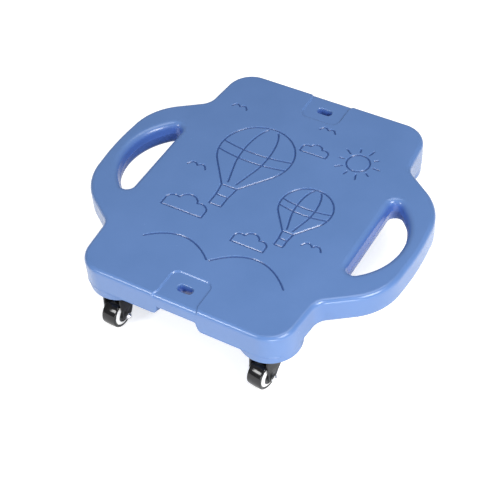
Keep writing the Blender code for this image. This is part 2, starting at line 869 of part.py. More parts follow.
def make_fork(group, helpers):
    fork = fork_skin(group)
    side = plate("fork_side", [leg_outline()], 2 * (leg_half + past), helpers)
    side.rotation_euler = (math.pi / 2, 0, math.pi / 2)
    wide = crown_radius
    plan = rounded([
        (wide, -trail - leg_end - 2 * past, 0),
        (wide, wide, wide),
        (-wide, wide, wide),
        (-wide, -trail - leg_end - 2 * past, 0),
    ])
    top = plate("fork_plan", [plan], 2 * (crown_z + past), helpers)
    boolean(fork, "INTERSECT", side)
    boolean(fork, "INTERSECT", top)
    balls = make_balls(helpers)
    boolean(fork, "UNION", balls)

    kingpin_hole = rod("kingpin_hole", kingpin_bore, 2 * (fork_sheet + past), pin_steps, helpers)
    kingpin_hole.location = (0, 0, crown_z)
    axle_hole = rod("axle_hole", axle_bore, 2 * (leg_half + past), pin_steps, helpers)
    axle_hole.rotation_euler = (0, math.pi / 2, 0)
    axle_hole.location = (0, -trail, axle_z)
    boolean(fork, "DIFFERENCE", kingpin_hole)
    boolean(fork, "DIFFERENCE", axle_hole)
    cutters = [side, top, kingpin_hole, axle_hole]
    for cutter in cutters:
        hide(cutter)
    cutters += balls.objects
    fork = baked(fork, group)
    for cutter in cutters:
        bpy.data.objects.remove(cutter)
    return fork


def rod(name, radius, length, steps, group):
    bm = bmesh.new()
    bmesh.ops.create_cone(bm, cap_ends=True, segments=steps, radius1=radius, radius2=radius, depth=length)
    mesh = bpy.data.meshes.new(name)
    bm.to_mesh(mesh)
    bm.free()
    return add(name, mesh, group)


# A profile of (radius, offset) points and its mirror image in the wheel's middle plane.
def both_sides(half_profile):
    return half_profile + [(r, -x) for r, x in reversed(half_profile)]


def wheel_core(group):
    profile = both_sides([
        (core_bore, bush_floor_half),
        (ring_inner, bush_floor_half),
        (ring_inner, ring_inner_half),
        (ring_outer, ring_outer_half),
        (seat_radius, seat_half),
    ])
    return turned("wheel_core", profile, wheel_steps, group, ring=True)


def wheel_tyre(group):
    shoulder = []
    for k in range(shoulder_steps + 1):
        a = math.pi / 2 * k / shoulder_steps
        across = tread_half + (tyre_half - tread_half) * math.cos(a)
        shoulder.append((wheel_radius - shoulder_drop * (1 - math.sin(a)), across))
    profile = both_sides([(seat_radius + gap, seat_half), (ring_outer + gap, ring_outer_half)] + shoulder)
    return turned("tyre", profile, wheel_steps, group, ring=True)


def wheel_bush(group):
    flange = ring_inner - gap
    seat = bush_floor_half + gap
    profile = [
        (axle_bore, bush_half),
        (flange, bush_half),
        (flange, seat),
        (bush_radius, seat),
        (bush_radius, bush_part),
        (axle_bore, bush_part),
    ]
    return turned("wheel_bush", profile, pin_steps, group, ring=True)


def hexagon():
    return circle(hex_flats / 2 / math.cos(math.pi / 6), 6)


# The bolt's head is on the caster's left side and its nut on the right.
def axle_bolt(group):
    seat = leg_half + gap
    end = seat + nut_height + bolt_over
    head = plate("axle_bolt", [hexagon()], head_height, group)
    head.location.z = -seat - head_height / 2
    shank = rod("shank", bolt_radius, end + seat + head_height / 2, pin_steps, group)
    shank.location.z = (end - seat - head_height / 2) / 2
    boolean(head, "UNION", shank)
    head.data.transform(Matrix.Translation(head.location))
    head.location.z = 0
    bolt = baked(head, group)
    bpy.data.objects.remove(shank)
    return bolt


def axle_nut(group):
    nut = plate("axle_nut", [hexagon(), circle(axle_bore, pin_steps)], nut_height, group)
    nut.data.transform(Matrix.Translation((0, 0, leg_half + gap + nut_height / 2)))
    return nut


def finish(body, surface):
    body.data.materials.clear()
    body.data.materials.append(surface)


def place(pattern, name, surface, parent, group):
    piece = pattern.copy()
    piece.name = name
    piece.parent = parent
    group.objects.link(piece)
    finish(piece, surface)
    return piece


def main():
    for old in list(bpy.data.objects):
        bpy.data.objects.remove(old)
    scene = bpy.context.scene.collection
    board = new_group("scooter_board", scene)
    cutting = new_group("cutters", scene)
    bosses = new_group("deck_bosses", cutting)
    cutters = new_group("deck_cutters", cutting)
    helpers = new_group("helpers", cutting)

    blue = material("deck_blue", (0.125, 0.225, 0.47), 0.38)
    zinc = material("zinc_steel", (0.62, 0.63, 0.65), 0.3, 1.0)
    black_steel = material("black_fork", (0.02, 0.02, 0.022), 0.4)
    rubber = material("tyre_black", (0.012, 0.012, 0.013), 0.25)
    white = material("core_white", (0.85, 0.85, 0.84), 0.35)
    black_nylon = material("bush_black", (0.018, 0.018, 0.02), 0.45)
    bright = material("bright_steel", (0.8, 0.81, 0.83), 0.15, 1.0)

    centre = add("deck_centre", None, helpers)
    hide(centre)
    deck = make_deck(board, bosses, cutters, helpers)
    finish(deck, blue)

    plate_pattern = caster_plate(helpers)
    screw = caster_screw(helpers)
    kingpin = caster_kingpin(helpers)
    race = caster_race(helpers)
    fork = make_fork(helpers, helpers)
    core = wheel_core(helpers)
    tyre = wheel_tyre(helpers)
    bush = wheel_bush(helpers)
    bolt = axle_bolt(helpers)
    nut = axle_nut(helpers)

    for corner, swivel in rest_swivel.items():
        x = -caster_x if corner.endswith("left") else caster_x
        y = -caster_y if corner.startswith("front") else caster_y
        mount = add(corner + "_mount", None, board)
        mount.location = (x, y, 0)
        pivot = add(corner + "_pivot", None, board)
        pivot.parent = mount
        pivot.rotation_euler = (0, 0, swivel)
        axle = add(corner + "_axle", None, board)
        axle.parent = pivot
        axle.location = (0, -trail, axle_z)
        axle.rotation_euler = (0, math.pi / 2, 0)

        place(plate_pattern, corner + "_mount_plate", zinc, mount, board)
        place(kingpin, corner + "_kingpin", bright, mount, board)
        place(race, corner + "_upper_race", zinc, mount, board)
        number = 0
        for x in (-screw_x, screw_x):
            for y in (-screw_y, screw_y):
                number += 1
                fixing = place(screw, f"{corner}_plate_screw_{number}", bright, mount, board)
                fixing.location = (x, y, 0)
        place(fork, corner + "_fork", black_steel, pivot, board)
        place(bolt, corner + "_axle_bolt", bright, axle, board)
        place(nut, corner + "_axle_nut", bright, axle, board)
        place(core, corner + "_wheel_core", white, axle, board)
        place(tyre, corner + "_tyre", rubber, axle, board)
        place(bush, corner + "_bush_right", black_nylon, axle, board)
        left_bush = place(bush, corner + "_bush_left", black_nylon, axle, board)
        left_bush.rotation_euler = (math.pi, 0, 0)
    for pattern in (plate_pattern, screw, kingpin, race, fork, core, tyre, bush, bolt, nut):
        bpy.data.objects.remove(pattern)


main()
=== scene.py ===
# Scooter board: its looks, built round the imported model's frame. Metres, Z up, front edge at -Y.
import json
import math

import bmesh
import bpy
import numpy as np
from mathutils import Matrix, Vector
from mathutils.geometry import delaunay_2d_cdt


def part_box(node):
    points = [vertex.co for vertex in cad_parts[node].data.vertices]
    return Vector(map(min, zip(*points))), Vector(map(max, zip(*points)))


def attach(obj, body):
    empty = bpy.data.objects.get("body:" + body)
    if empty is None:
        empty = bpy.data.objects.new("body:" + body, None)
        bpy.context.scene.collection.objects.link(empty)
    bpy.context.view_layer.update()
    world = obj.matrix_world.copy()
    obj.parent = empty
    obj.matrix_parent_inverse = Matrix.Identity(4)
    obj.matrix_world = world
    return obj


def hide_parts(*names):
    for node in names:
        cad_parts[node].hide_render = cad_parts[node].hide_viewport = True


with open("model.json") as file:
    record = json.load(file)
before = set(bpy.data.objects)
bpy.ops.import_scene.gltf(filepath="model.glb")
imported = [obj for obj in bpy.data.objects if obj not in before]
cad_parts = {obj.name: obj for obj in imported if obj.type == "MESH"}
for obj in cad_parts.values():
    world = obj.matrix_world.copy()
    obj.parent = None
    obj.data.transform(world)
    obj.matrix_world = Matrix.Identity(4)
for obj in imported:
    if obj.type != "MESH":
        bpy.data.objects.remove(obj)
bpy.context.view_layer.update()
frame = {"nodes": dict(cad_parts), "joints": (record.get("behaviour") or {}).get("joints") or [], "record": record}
deckLow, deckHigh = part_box("deck")
deckTop = deckHigh.z
endY = deckHigh.y
fit = 0.0003       # clearance between pieces that touch, as in the frame
past = 0.001       # how far a cutting body stands out of what it cuts
sharpAngle = 35    # degrees from which an edge stays sharp
corners = ["front_left", "front_right", "back_left", "back_right"]
joints = {joint["name"]: joint for joint in frame["joints"]}
print("frame loaded:", len(frame["nodes"]), "nodes")


# Small helpers

def smoothstep(value, start, stop):
    t = np.clip((value - start) / (stop - start), 0, 1)
    return t * t * (3 - 2 * t)


def lerp(start, stop, share):
    return start + (stop - start) * share


def quarterTurn(count):
    return [math.pi / 2 * k / count for k in range(count + 1)]


def bulge(x, z, across, up, angles):
    # points of a quarter round about (x, z), each angle measured from straight up
    return [(x + across * math.sin(a), z + up * math.cos(a)) for a in angles]


def rightAngle(axis):
    return Matrix.Rotation(math.pi / 2, 4, axis)


def arc(x, y, radius, start, stop, count):
    # points on an arc, angles in degrees
    turn = np.radians(np.linspace(start, stop, count + 1))
    return [(x + radius * math.cos(a), y + radius * math.sin(a)) for a in turn]


def dense(points, spacing):
    # a line's points, no further apart than the spacing
    points = [np.array(p, float) for p in points]
    found = [points[0]]
    for here, there in zip(points, points[1:]):
        count = max(1, math.ceil(np.linalg.norm(there - here) / spacing))
        found += [here + (there - here) * k / count for k in range(1, count + 1)]
    return np.array(found)


def roundedCorner(path, i):
    # the arc that rounds corner i of a path of (x, y, radius): centre, first spoke, side, turn
    x, y, radius = path[i]
    here = Vector((x, y))
    toLast = (Vector(path[i - 1][:2]) - here).normalized()
    toNext = (Vector(path[(i + 1) % len(path)][:2]) - here).normalized()
    half = toLast.angle(toNext) / 2
    centre = here + (toLast + toNext).normalized() * radius / math.sin(half)
    spoke = here + toLast * radius / math.tan(half) - centre
    side = 1 if toLast.cross(toNext) < 0 else -1
    return centre, spoke, side, math.pi - 2 * half


def filleted(path, steps=8):
    # a path through (x, y, radius) corners, each rounded by its radius
    found = []
    for i, (x, y, radius) in enumerate(path):
        if radius == 0:
            found.append((x, y))
            continue
        centre, spoke, side, turn = roundedCorner(path, i)
        for k in range(steps + 1):
            found.append(tuple(centre + Matrix.Rotation(side * turn * k / steps, 2) @ spoke))
    return found


def newMesh():
    return {"verts": [], "faces": []}


def addRing(mesh, points):
    first = len(mesh["verts"])
    mesh["verts"] += [tuple(p) for p in points]
    return list(range(first, first + len(points)))


def addLevel(mesh, outline, z):
    return addRing(mesh, [(x, y, z) for x, y in outline])


def addStrips(mesh, rings):
    # joins each ring to the next, and gives back the first and the last
    for upper, lower in zip(rings, rings[1:]):
        for i in range(len(upper)):
            mesh["faces"].append((upper[i - 1], lower[i - 1], lower[i], upper[i]))
    return rings[0], rings[-1]


def added(name, data):
    thing = bpy.data.objects.new(name, data)
    bpy.context.scene.collection.objects.link(thing)
    return thing


def shadeSmooth(data, sharp):
    data.shade_smooth()
    data.set_sharp_from_angle(angle=math.radians(sharp))


def toObject(mesh, name, sharp=sharpAngle):
    data = bpy.data.meshes.new(name)
    data.from_pydata(mesh["verts"], [], mesh["faces"])
    bm = bmesh.new()
    bm.from_mesh(data)
    bmesh.ops.recalc_face_normals(bm, faces=bm.faces)
    bm.to_mesh(data)
    bm.free()
    shadeSmooth(data, sharp)
    return added(name, data)


def slab(name, outline, low, high, sharp=sharpAngle):
    mesh = newMesh()
    ends = addStrips(mesh, [addLevel(mesh, outline, high), addLevel(mesh, outline, low)])
    mesh["faces"] += [tuple(ring) for ring in ends]
    return toObject(mesh, name, sharp)


def turned(name, profile, steps, ring=False, sharp=sharpAngle):
    # a body turned about Z from (radius, z) points, top of the outer side first
    mesh = newMesh()
    rows = []
    for radius, z in profile:
        angles = [2 * math.pi * k / steps for k in range(steps if radius else 1)]
        rows.append(addRing(mesh, [(radius * math.cos(a), radius * math.sin(a), z) for a in angles]))
    pairs = list(zip(rows, rows[1:]))
    if ring:
        pairs.append((rows[-1], rows[0]))
    for upper, lower in pairs:
        for i in range(steps):
            face = [row[j % len(row)] for row, j in ((upper, i - 1), (lower, i - 1), (lower, i), (upper, i))]
            face = tuple(dict.fromkeys(face))    # a point on the axis counts once
            if len(face) > 2:
                mesh["faces"].append(face)
    return toObject(mesh, name, sharp)


def rod(name, radius, low, high, steps):
    return turned(name, [(0, high), (radius, high), (radius, low), (0, low)], steps)


def applied(thing, sharp=sharpAngle):
    # the object's evaluated mesh takes the place of its own
    bpy.context.view_layer.update()
    seen = thing.evaluated_get(bpy.context.evaluated_depsgraph_get())
    data = bpy.data.meshes.new_from_object(seen)
    shadeSmooth(data, sharp)
    thing.modifiers.clear()
    thing.data = data
    return thing


def cut(thing, other, operation="DIFFERENCE", sharp=sharpAngle):
    modifier = thing.modifiers.new(operation.title(), "BOOLEAN")
    modifier.operation = operation
    modifier.solver = "EXACT"
    modifier.object = other
    applied(thing, sharp)
    bpy.data.objects.remove(other)
    return thing


edgeRound = {"segments": 2, "angle": 40}     # degrees from which an edge is rounded


def roundEdges(thing, width):
    bevel = thing.modifiers.new("Edges", "BEVEL")
    bevel.width = width
    bevel.segments = edgeRound["segments"]
    bevel.limit_method = "ANGLE"
    bevel.angle_limit = math.radians(edgeRound["angle"])
    bevel.use_clamp_overlap = True
    return applied(thing)


# Deck plan

deckShape = {
    "endX": 0.1402, "endRound": 0.0360,
    "waistX": 0.1464, "waistY": 0.1240, "waistRound": 0.0215,
    "shoulderX": 0.2105, "shoulderY": 0.0783, "shoulderRound": 0.0770,
    "gripX": 0.2173, "gripRound": 0.3400,
    "thick": 0.0365,
    "rimEnd": 0.0056, "rimGrip": 0.0064,     # top edge rounding, at the ends and at the grips
    "footEnd": 0.0025, "footGrip": 0.0065,   # bottom edge rounding
    "footScoop": 0.0008,                     # the same at the scoop's edge
    "blend": 0.0300,                         # length in X over which one grows into the other
    "wallInset": 0.00040,                    # the wall stands this far inside the frame's solid
    "seamProud": 0.00036, "seamHalf": 0.0007, "seamRise": 0.0025,
    "sink": 0.00010, "sinkLength": 0.055,    # faint unevenness of a blown skin
    "sinkBends": ((0.7, 0.6), (0.5, 0.7)), "sinkRatio": 0.8,
    "sinkX": (0.137, 0.127), "sinkEnd": (0.009, 0.020), "sinkRecess": 0.012,    # where it fades out
    "sharp": 64,                             # degrees from which an edge of the skin stays sharp
}
deckBottom = deckTop - deckShape["thick"]

skinMesh = {  # how closely the skin's points stand
    "spacing": 0.0030, "fine": 0.0007, "walk": 0.0000875, "arcShare": 0.07,
    "nearRecess": 0.002, "nearScoop": 0.003, "steepAt": 0.8, "steepHalf": 0.3,
    "rimRings": 10, "wallShares": (0.75, 0.5, 0.25),
    "wallLevels": (0.0115, 0.0090, 0.0068, 0.0052, 0.0042),
    "seamShares": (1, 0.6, 0.3, 0, -0.3, -0.6, -1),
    "footLevels": (0.0012, 0.0006, 0.00025, 0.00006, 0),
    "grooveShares": (0, 0.25, 0.5, 0.75, 1.0, 1.3, 1.8), "endFan": (-0.8, 0, 0.8),
    "recessShares": (-0.35, 0, 0.2, 0.4, 0.6, 0.8, 1, 1.3), "recessStep": 0.0012, "recessGap": 0.0025,
    "scoopRows": 15, "scoopFrom": -0.06, "scoopPower": 1.6, "scoopStep": 0.0025, "scoopGap": 0.0030,
    "closest": 0.00034, "gridTop": 0.007, "gridBottom": 0.012, "gridClosest": 0.55, "weld": 1e-7,
}

recess = {
    "half": 0.0263, "length": 0.0455, "depth": 0.0018, "round": 0.0090,
    "slope": 0.0017, "flare": 0.0030, "flareLength": 0.0110, "cornerSteps": 12,
}

slotShape = {
    "inset": 0.0260, "halfX": 0.0090, "halfY": 0.0040, "round": 0.0035,
    "flare": 0.0012, "flareDepth": 0.0060, "flareShares": (0.5, 1),
    "mouth": 0.0012, "mouthSteps": 5, "lip": 0.0008, "lipSteps": 3, "cornerSteps": 6,
}

scoop = {
    "height": 0.0156, "length": 0.0420, "half": 0.0360, "taper": 0.30,
    "sideRun": 0.0096, "endRun": 0.0060, "hollow": 3.4, "corner": 0.06, "cornerSteps": 8,
    "sideEdge": 0.0014,                      # rounding of the wall's edge down its sides
    "edgeRise": (0.0005, 0.0040), "edgeSlope": (0.3, 1.5), "seamRise": (0.0002, 0.0015),
}

opening = {
    "gripWidth": 0.0230, "straightX": 0.1510, "arc": 0.0797, "tip": 0.0080,
    "draft": 0.0010, "partingDrop": 0.0150, "partingDraft": 0.12,
    "mouthBoard": 0.0080, "mouthGrip": 0.0090, "baseBoard": 0.0100, "baseGrip": 0.0130,
    "bead": 0.00040, "beadHalf": 0.0009,     # the parting line stands proud of the wall
    "beadShares": (1, 0.5, 0, -0.5, -1),
    "arcSteps": 72, "tipSteps": 16, "sideSteps": 24, "rings": 9,
}

boss = {"radius": 0.0389, "round": 0.0012, "root": 0.0040, "steps": 96, "roundSteps": 5}


def recessHalf(y):
    return recess["half"] + recess["flare"] * smoothstep(y, endY - recess["flareLength"], endY)


def recessDistance(x, y):
    # how far outside the recess's floor a point lies, negative within it
    y = np.abs(y)
    r = recess["round"]
    qx = np.abs(x) - (recessHalf(y) - r)
    qy = endY - recess["length"] + r - y
    outside = np.hypot(np.maximum(qx, 0), np.maximum(qy, 0))
    return outside + np.minimum(np.maximum(qx, qy), 0) - r


def recessDrop(x, y):
    t = np.clip(1 - recessDistance(x, y) / recess["slope"], 0, 1)
    return recess["depth"] * (t + smoothstep(t, 0, 1)) / 2


def scoopHalf(depth):
    return scoop["half"] - scoop["taper"] * depth


def scoopRise(x, y):
    # the ceiling, reached over hollow sides and a short round corner
    depth = endY - np.abs(y)
    across = np.maximum(1 - (scoopHalf(depth) - np.abs(x)) / scoop["sideRun"], 0)
    along = np.maximum(1 - (scoop["length"] - depth) / scoop["endRun"], 0)
    w = scoop["corner"]
    climb = (1 + w) * np.maximum(1 - np.hypot(across, along), 0) ** scoop["hollow"]
    return scoop["height"] * (climb - w * np.clip((climb - 1 + w) / (2 * w), 0, 1) ** 2)


def sinkDrop(x, y):
    # two slow waves that bend each other
    k = 2 * math.pi / deckShape["sinkLength"]
    (bendX, rateX), (bendY, rateY) = deckShape["sinkBends"]
    wave = np.sin(k * x + bendX * np.sin(rateX * k * y))
    wave = wave * np.sin(deckShape["sinkRatio"] * k * y + bendY * np.sin(rateY * k * x))
    return deckShape["sink"] * (1 + wave) / 2


def deckCorners():
    s = deckShape
    right = [
        (s["shoulderX"], s["shoulderY"], s["shoulderRound"]),
        (s["waistX"], s["waistY"], s["waistRound"]),
        (s["endX"], endY, s["endRound"]),
    ]
    back = [(s["gripX"], 0, s["gripRound"])] + right + [(-x, y, r) for x, y, r in right[::-1]]
    return back + [(-x, -y, r) for x, y, r in back]


def spacingAt(point):
    # closer steps where the recess and the scoop cross the edge
    m = skinMesh
    if abs(point[1]) > endY - deckShape["rimEnd"]:
        side = abs(point[0])
        recessSide = recess["half"] + recess["flare"]
        if recessSide - m["nearRecess"] < side < recessSide + recess["slope"] + m["nearRecess"]:
            return m["fine"] / 2
        run = scoop["sideRun"]
        if abs(side - scoop["half"] + run * m["steepAt"]) < run * m["steepHalf"]:
            return m["fine"] / 3
        if scoop["half"] - run - m["nearScoop"] < side < scoop["half"] + m["nearScoop"]:
            return m["fine"]
    return m["spacing"]


def deckOutline():
    # the wall's points and outward normals, walked round the rounded corners
    loop = deckCorners()
    runs = []
    for i in range(len(loop)):
        radius = loop[i][2]
        centre, spoke, side, turn = roundedCorner(loop, i)
        count = math.ceil(turn * radius / min(skinMesh["spacing"], skinMesh["arcShare"] * radius))
        spokes = [Matrix.Rotation(side * turn * k / count, 2) @ spoke for k in range(count + 1)]
        runs.append([(centre + out, out.normalized() * side) for out in spokes])
    found = []
    step = skinMesh["walk"]
    for points, following in zip(runs, runs[1:] + runs[:1]):
        found += points
        start, normal = points[-1]
        stop = following[0][0]
        length = (stop - start).length
        walked = last = 0.0
        while walked + step < length - step:
            walked += step
            place = start + (stop - start) * walked / length
            if walked - last >= spacingAt(place):
                found.append((place, normal))
                last = walked
    xy = np.array([tuple(p) for p, n in found])
    normals = np.array([tuple(n) for p, n in found])
    return xy - normals * deckShape["wallInset"], normals


def openingRing(boardShift, gripShift, side):
    # the opening's plan with its straight side and its arc moved outward by the two shifts
    o = opening
    arcX = deckHigh.x - o["gripWidth"] - o["arc"]
    radius = o["arc"] + gripShift
    tip = o["tip"] + (boardShift + gripShift) / 2
    tipX = o["straightX"] - boardShift + tip
    tipY = math.sqrt((radius - tip) ** 2 - (tipX - arcX) ** 2)
    meet = math.degrees(math.atan2(tipY, tipX - arcX))
    points = arc(arcX, 0, radius, -meet, meet, o["arcSteps"])
    points += arc(tipX, tipY, tip, meet, 180, o["tipSteps"])[1:]
    straight = dense([(tipX - tip, tipY), (tipX - tip, -tipY)], 2 * tipY / o["sideSteps"])
    points += [tuple(p) for p in straight[1:]]
    points += arc(tipX, -tipY, tip, 180, 360 - meet, o["tipSteps"])[1:-1]
    return np.array(points) * (side, 1)


def boxRing(halfX, halfY, radius, centreY, steps):
    points = []
    for k, (sx, sy) in enumerate(((1, 1), (-1, 1), (-1, -1), (1, -1))):
        x = sx * (halfX - radius)
        y = centreY + sy * (halfY - radius)
        points += arc(x, y, radius, 90 * k, 90 * k + 90, steps)
    return points


# Engraved picture: two hot-air balloons over hills, with clouds, birds and a sun

picture = {
    "halfWidth": 0.00175, "depth": 0.00140, "spacing": 0.0012,
    "balloons": [(-0.040, 0.062, 0.050), (0.063, 0.004, 0.034)],   # centre of the envelope, its radius
    "clouds": [(-0.072, -0.060, 0.060), (0.025, 0.098, 0.038), (0.030, -0.078, 0.046)],  # middle, width
    "birds": [(-0.096, 0.010, 0.0130), (0.022, 0.142, 0.0110), (0.100, -0.050, 0.0130),
              (-0.104, 0.132, 0.0110)],                            # middle, span of a wing
    "sun": (0.084, 0.104, 0.0150),
    "hills": [(-0.046, -0.124, 0.044, 0.020), (0.052, -0.124, 0.050, 0.026)],  # foot, half width, height
    "hillSteps": 40,
}

# heights and widths of a balloon and a sun in radii, of a cloud in widths, of a bird in spans
balloonShape = {
    "foot": 1.35, "shoulder": 0.62, "mouth": 0.22, "seam": 0.36, "seamTop": 0.94, "seamGap": 0.14,
    "bands": (-0.22, 0.10), "sag": 0.12,
    "basketGap": 0.36, "basketHalf": 0.17, "basketHeight": 0.34, "flankSteps": 40, "bandSteps": 24,
}
cloudShape = {
    "bumps": ((-0.32, 0.03, 0.18), (-0.02, 0.13, 0.22), (0.29, 0.02, 0.19)), "base": -0.13, "steps": 120,
}
birdShape = {"lift": 0.42, "bend": 2.6, "steps": 41}
sunShape = {"rays": 10, "gap": 1.38, "reach": (1.95, 1.75), "steps": 48}


def balloonHalf(height):
    # half width of the envelope at a height from its middle
    b = balloonShape
    if height > -b["shoulder"]:
        return math.sqrt(max(1 - height * height, 0))
    widest = math.sqrt(1 - b["shoulder"] ** 2)
    share = (-b["shoulder"] - height) / (b["foot"] - b["shoulder"])
    return lerp(widest, b["mouth"], share)


def balloonLines(x, y, radius):
    b = balloonShape
    turns = np.linspace(math.pi / 2, -math.asin(b["shoulder"]), b["flankSteps"])
    flank = [(balloonHalf(math.sin(a)), math.sin(a)) for a in turns] + [(b["mouth"], -b["foot"])]
    shapes = [flank + [(-half, height) for half, height in flank[::-1]]]
    inner = [(half, height) for half, height in flank[:-1] if height < b["seamTop"]]
    low = b["seamGap"] - b["foot"]
    inner.append((balloonHalf(low), low))
    for side in (-b["seam"], b["seam"]):
        shapes.append([(side * half, height) for half, height in inner])
    for level in b["bands"]:
        half = balloonHalf(level)
        across = np.linspace(-1, 1, b["bandSteps"])
        shapes.append([(half * s, level + b["sag"] * (s * s - 1)) for s in across])
    top = -b["foot"] - b["basketGap"]
    bottom = top - b["basketHeight"]
    half = b["basketHalf"]
    for side in (-1, 1):
        shapes.append([(side * b["mouth"], -b["foot"]), (side * half, top)])
    shapes.append([(half, top), (-half, top), (-half, bottom), (half, bottom), (half, top)])
    return [[(x + radius * across, y + radius * up) for across, up in shape] for shape in shapes]


def cloudLines(x, y, width):
    line = []
    c = cloudShape
    for s in np.linspace(-0.5, 0.5, c["steps"]):
        tops = [by + math.sqrt(r * r - (s - bx) ** 2) for bx, by, r in c["bumps"] if abs(s - bx) < r]
        if tops and max(tops) > c["base"]:
            line.append((x + s * width, y + max(tops) * width))
    base = y + c["base"] * width
    return [[(line[0][0], base)] + line + [(line[-1][0], base), (line[0][0], base)]]


def birdLines(x, y, span):
    # two raised wings that meet in a dip, each one's tip falling away
    line = []
    for s in np.linspace(-1, 1, birdShape["steps"]):
        rise = math.sin(birdShape["bend"] * abs(s)) - abs(s) ** 2
        line.append((x + span * s, y + birdShape["lift"] * span * rise))
    return [line]


def sunLines(x, y, radius):
    lines = [arc(x, y, radius, 0, 360, sunShape["steps"])]
    for k in range(sunShape["rays"]):
        a = 2 * math.pi * k / sunShape["rays"]
        ends = (sunShape["gap"], sunShape["reach"][k % 2])
        lines.append([(x + r * radius * math.cos(a), y + r * radius * math.sin(a)) for r in ends])
    return lines


def hillLines(x, y, half, height):
    across = np.linspace(-1, 1, picture["hillSteps"])
    return [[(x + half * s, y + height * (1 - s * s)) for s in across]]


def pictureLines():
    p = picture
    lines = []
    for draw, motifs in ((balloonLines, p["balloons"]), (cloudLines, p["clouds"]), (birdLines, p["birds"]),
                         (sunLines, [p["sun"]]), (hillLines, p["hills"])):
        for motif in motifs:
            lines += draw(*motif)
    return [dense(line, p["spacing"]) for line in lines]


def distanceToLines(points, lines, batch=1000):
    starts = np.vstack([line[:-1] for line in lines])
    stops = np.vstack([line[1:] for line in lines])
    run = stops - starts
    length = np.maximum((run ** 2).sum(1), 1e-12)
    nearest = np.full(len(points), 1.0)
    for first in range(0, len(points), batch):
        away = points[first:first + batch, None, :] - starts[None]
        t = np.clip((away * run[None]).sum(2) / length, 0, 1)
        miss = away - t[..., None] * run[None]
        nearest[first:first + batch] = np.sqrt((miss ** 2).sum(2)).min(1)
    return nearest


def grooveDrop(points, lines):
    share = np.clip(distanceToLines(points, lines) / picture["halfWidth"], 0, 1)
    return picture["depth"] * (1 + np.cos(math.pi * share)) / 2


def grooveFeatures(lines):
    # points in rows beside each line, from its middle outward, and a fan of them at its ends
    rows = []
    for share in skinMesh["grooveShares"]:
        for line in lines:
            along = np.gradient(line, axis=0)
            along /= np.maximum(np.linalg.norm(along, axis=1), 1e-9)[:, None]
            across = np.stack([-along[:, 1], along[:, 0]], 1) * picture["halfWidth"] * share
            rows.append(line + across)
            if share:
                rows.append(line - across)
                for end, out in ((line[0], -along[0]), (line[-1], along[-1])):
                    turned90 = np.array([-out[1], out[0]])
                    fan = [out * math.cos(a) + turned90 * math.sin(a) for a in skinMesh["endFan"]]
                    rows.append(np.array([end + f * picture["halfWidth"] * share for f in fan]))
    return np.vstack(rows)


# Sheets: a flat region's points, joined into triangles, with a height for each

def thinned(points, gap, taken):
    cells = {}
    for p in taken:
        cells.setdefault((int(p[0] // gap), int(p[1] // gap)), []).append(p)
    kept = []
    for p in points:
        cx = int(p[0] // gap)
        cy = int(p[1] // gap)
        near = [q for i in (-1, 0, 1) for j in (-1, 0, 1) for q in cells.get((cx + i, cy + j), ())]
        if all((p[0] - q[0]) ** 2 + (p[1] - q[1]) ** 2 >= gap * gap for q in near):
            cells.setdefault((cx, cy), []).append(p)
            kept.append(p)
    return np.array(kept)


def insideLoop(points, loop):
    inside = np.zeros(len(points), bool)
    x, y = points[:, 0], points[:, 1]
    for (ax, ay), (bx, by) in zip(loop, np.roll(loop, -1, 0)):
        crosses = (ay > y) != (by > y)
        level = np.where(crosses, (bx - ax) * (y - ay) / np.where(by != ay, by - ay, 1) + ax, 0)
        inside ^= crosses & (x < level)
    return inside


def insideRegion(points, outer, holes):
    inside = insideLoop(points, outer)
    for hole in holes:
        inside &= ~insideLoop(points, hole)
    return inside


def gridPoints(spacing, halfX, halfY):
    # every other row is shifted by half a step
    i, j = np.meshgrid(range(int(2 * halfX / spacing) + 1), range(int(2 * halfY / spacing) + 1))
    x = -halfX + spacing / 2 * (j % 2) + i * spacing
    return np.column_stack([x.ravel(), (-halfY + j * spacing).ravel()])


def fillSheet(mesh, loops, features, height, gridGap):
    # loops are rings already in the mesh, the outer one first
    m = skinMesh
    flat = [np.array([mesh["verts"][i][:2] for i in ring]) for ring in loops]
    edgePoints = np.vstack(flat)
    inner = thinned(features[insideRegion(features, flat[0], flat[1:])], m["closest"], edgePoints)
    grid = gridPoints(gridGap, deckHigh.x, endY)
    grid = grid[insideRegion(grid, flat[0], flat[1:])]
    inner = np.vstack([inner, thinned(grid, gridGap * m["gridClosest"], np.vstack([edgePoints, inner]))])
    edges = []
    first = 0
    for points in flat:
        count = len(points)
        edges += [(first + i, first + (i + 1) % count) for i in range(count)]
        first += count
    everything = [Vector(p) for p in np.vstack([edgePoints, inner])]
    result = delaunay_2d_cdt(everything, edges, [], 0, m["weld"], True)
    places, triangles, origins = result[0], result[2], result[3]
    known = [i for ring in loops for i in ring]
    known += addRing(mesh, [(p[0], p[1], z) for p, z in zip(inner, height(inner))])
    index = [known[o[0]] for o in origins]
    centres = np.array([sum((places[i] for i in t), Vector((0, 0))) / 3 for t in triangles])
    keep = insideRegion(centres, flat[0], flat[1:])
    mesh["faces"] += [tuple(index[i] for i in t) for t, wanted in zip(triangles, keep) if wanted]


def bothEnds(rows, gap):
    # rows given for the right half of the back end, carried over to its left half and to the front
    back = np.vstack([dense(row + [(-x, y) for x, y in row[::-1]], gap) for row in rows])
    return np.vstack([back, back * (1, -1)])


def recessFeatures():
    rows = []
    r = recess["round"]
    inner = endY - recess["length"] + r
    for share in skinMesh["recessShares"]:
        grow = share * recess["slope"]
        row = [(recessHalf(y) + grow, y) for y in np.arange(endY, inner, -skinMesh["recessStep"])]
        rows.append(row + arc(recess["half"] - r, inner, r + grow, 0, -90, recess["cornerSteps"]))
    return bothEnds(rows, skinMesh["recessGap"])


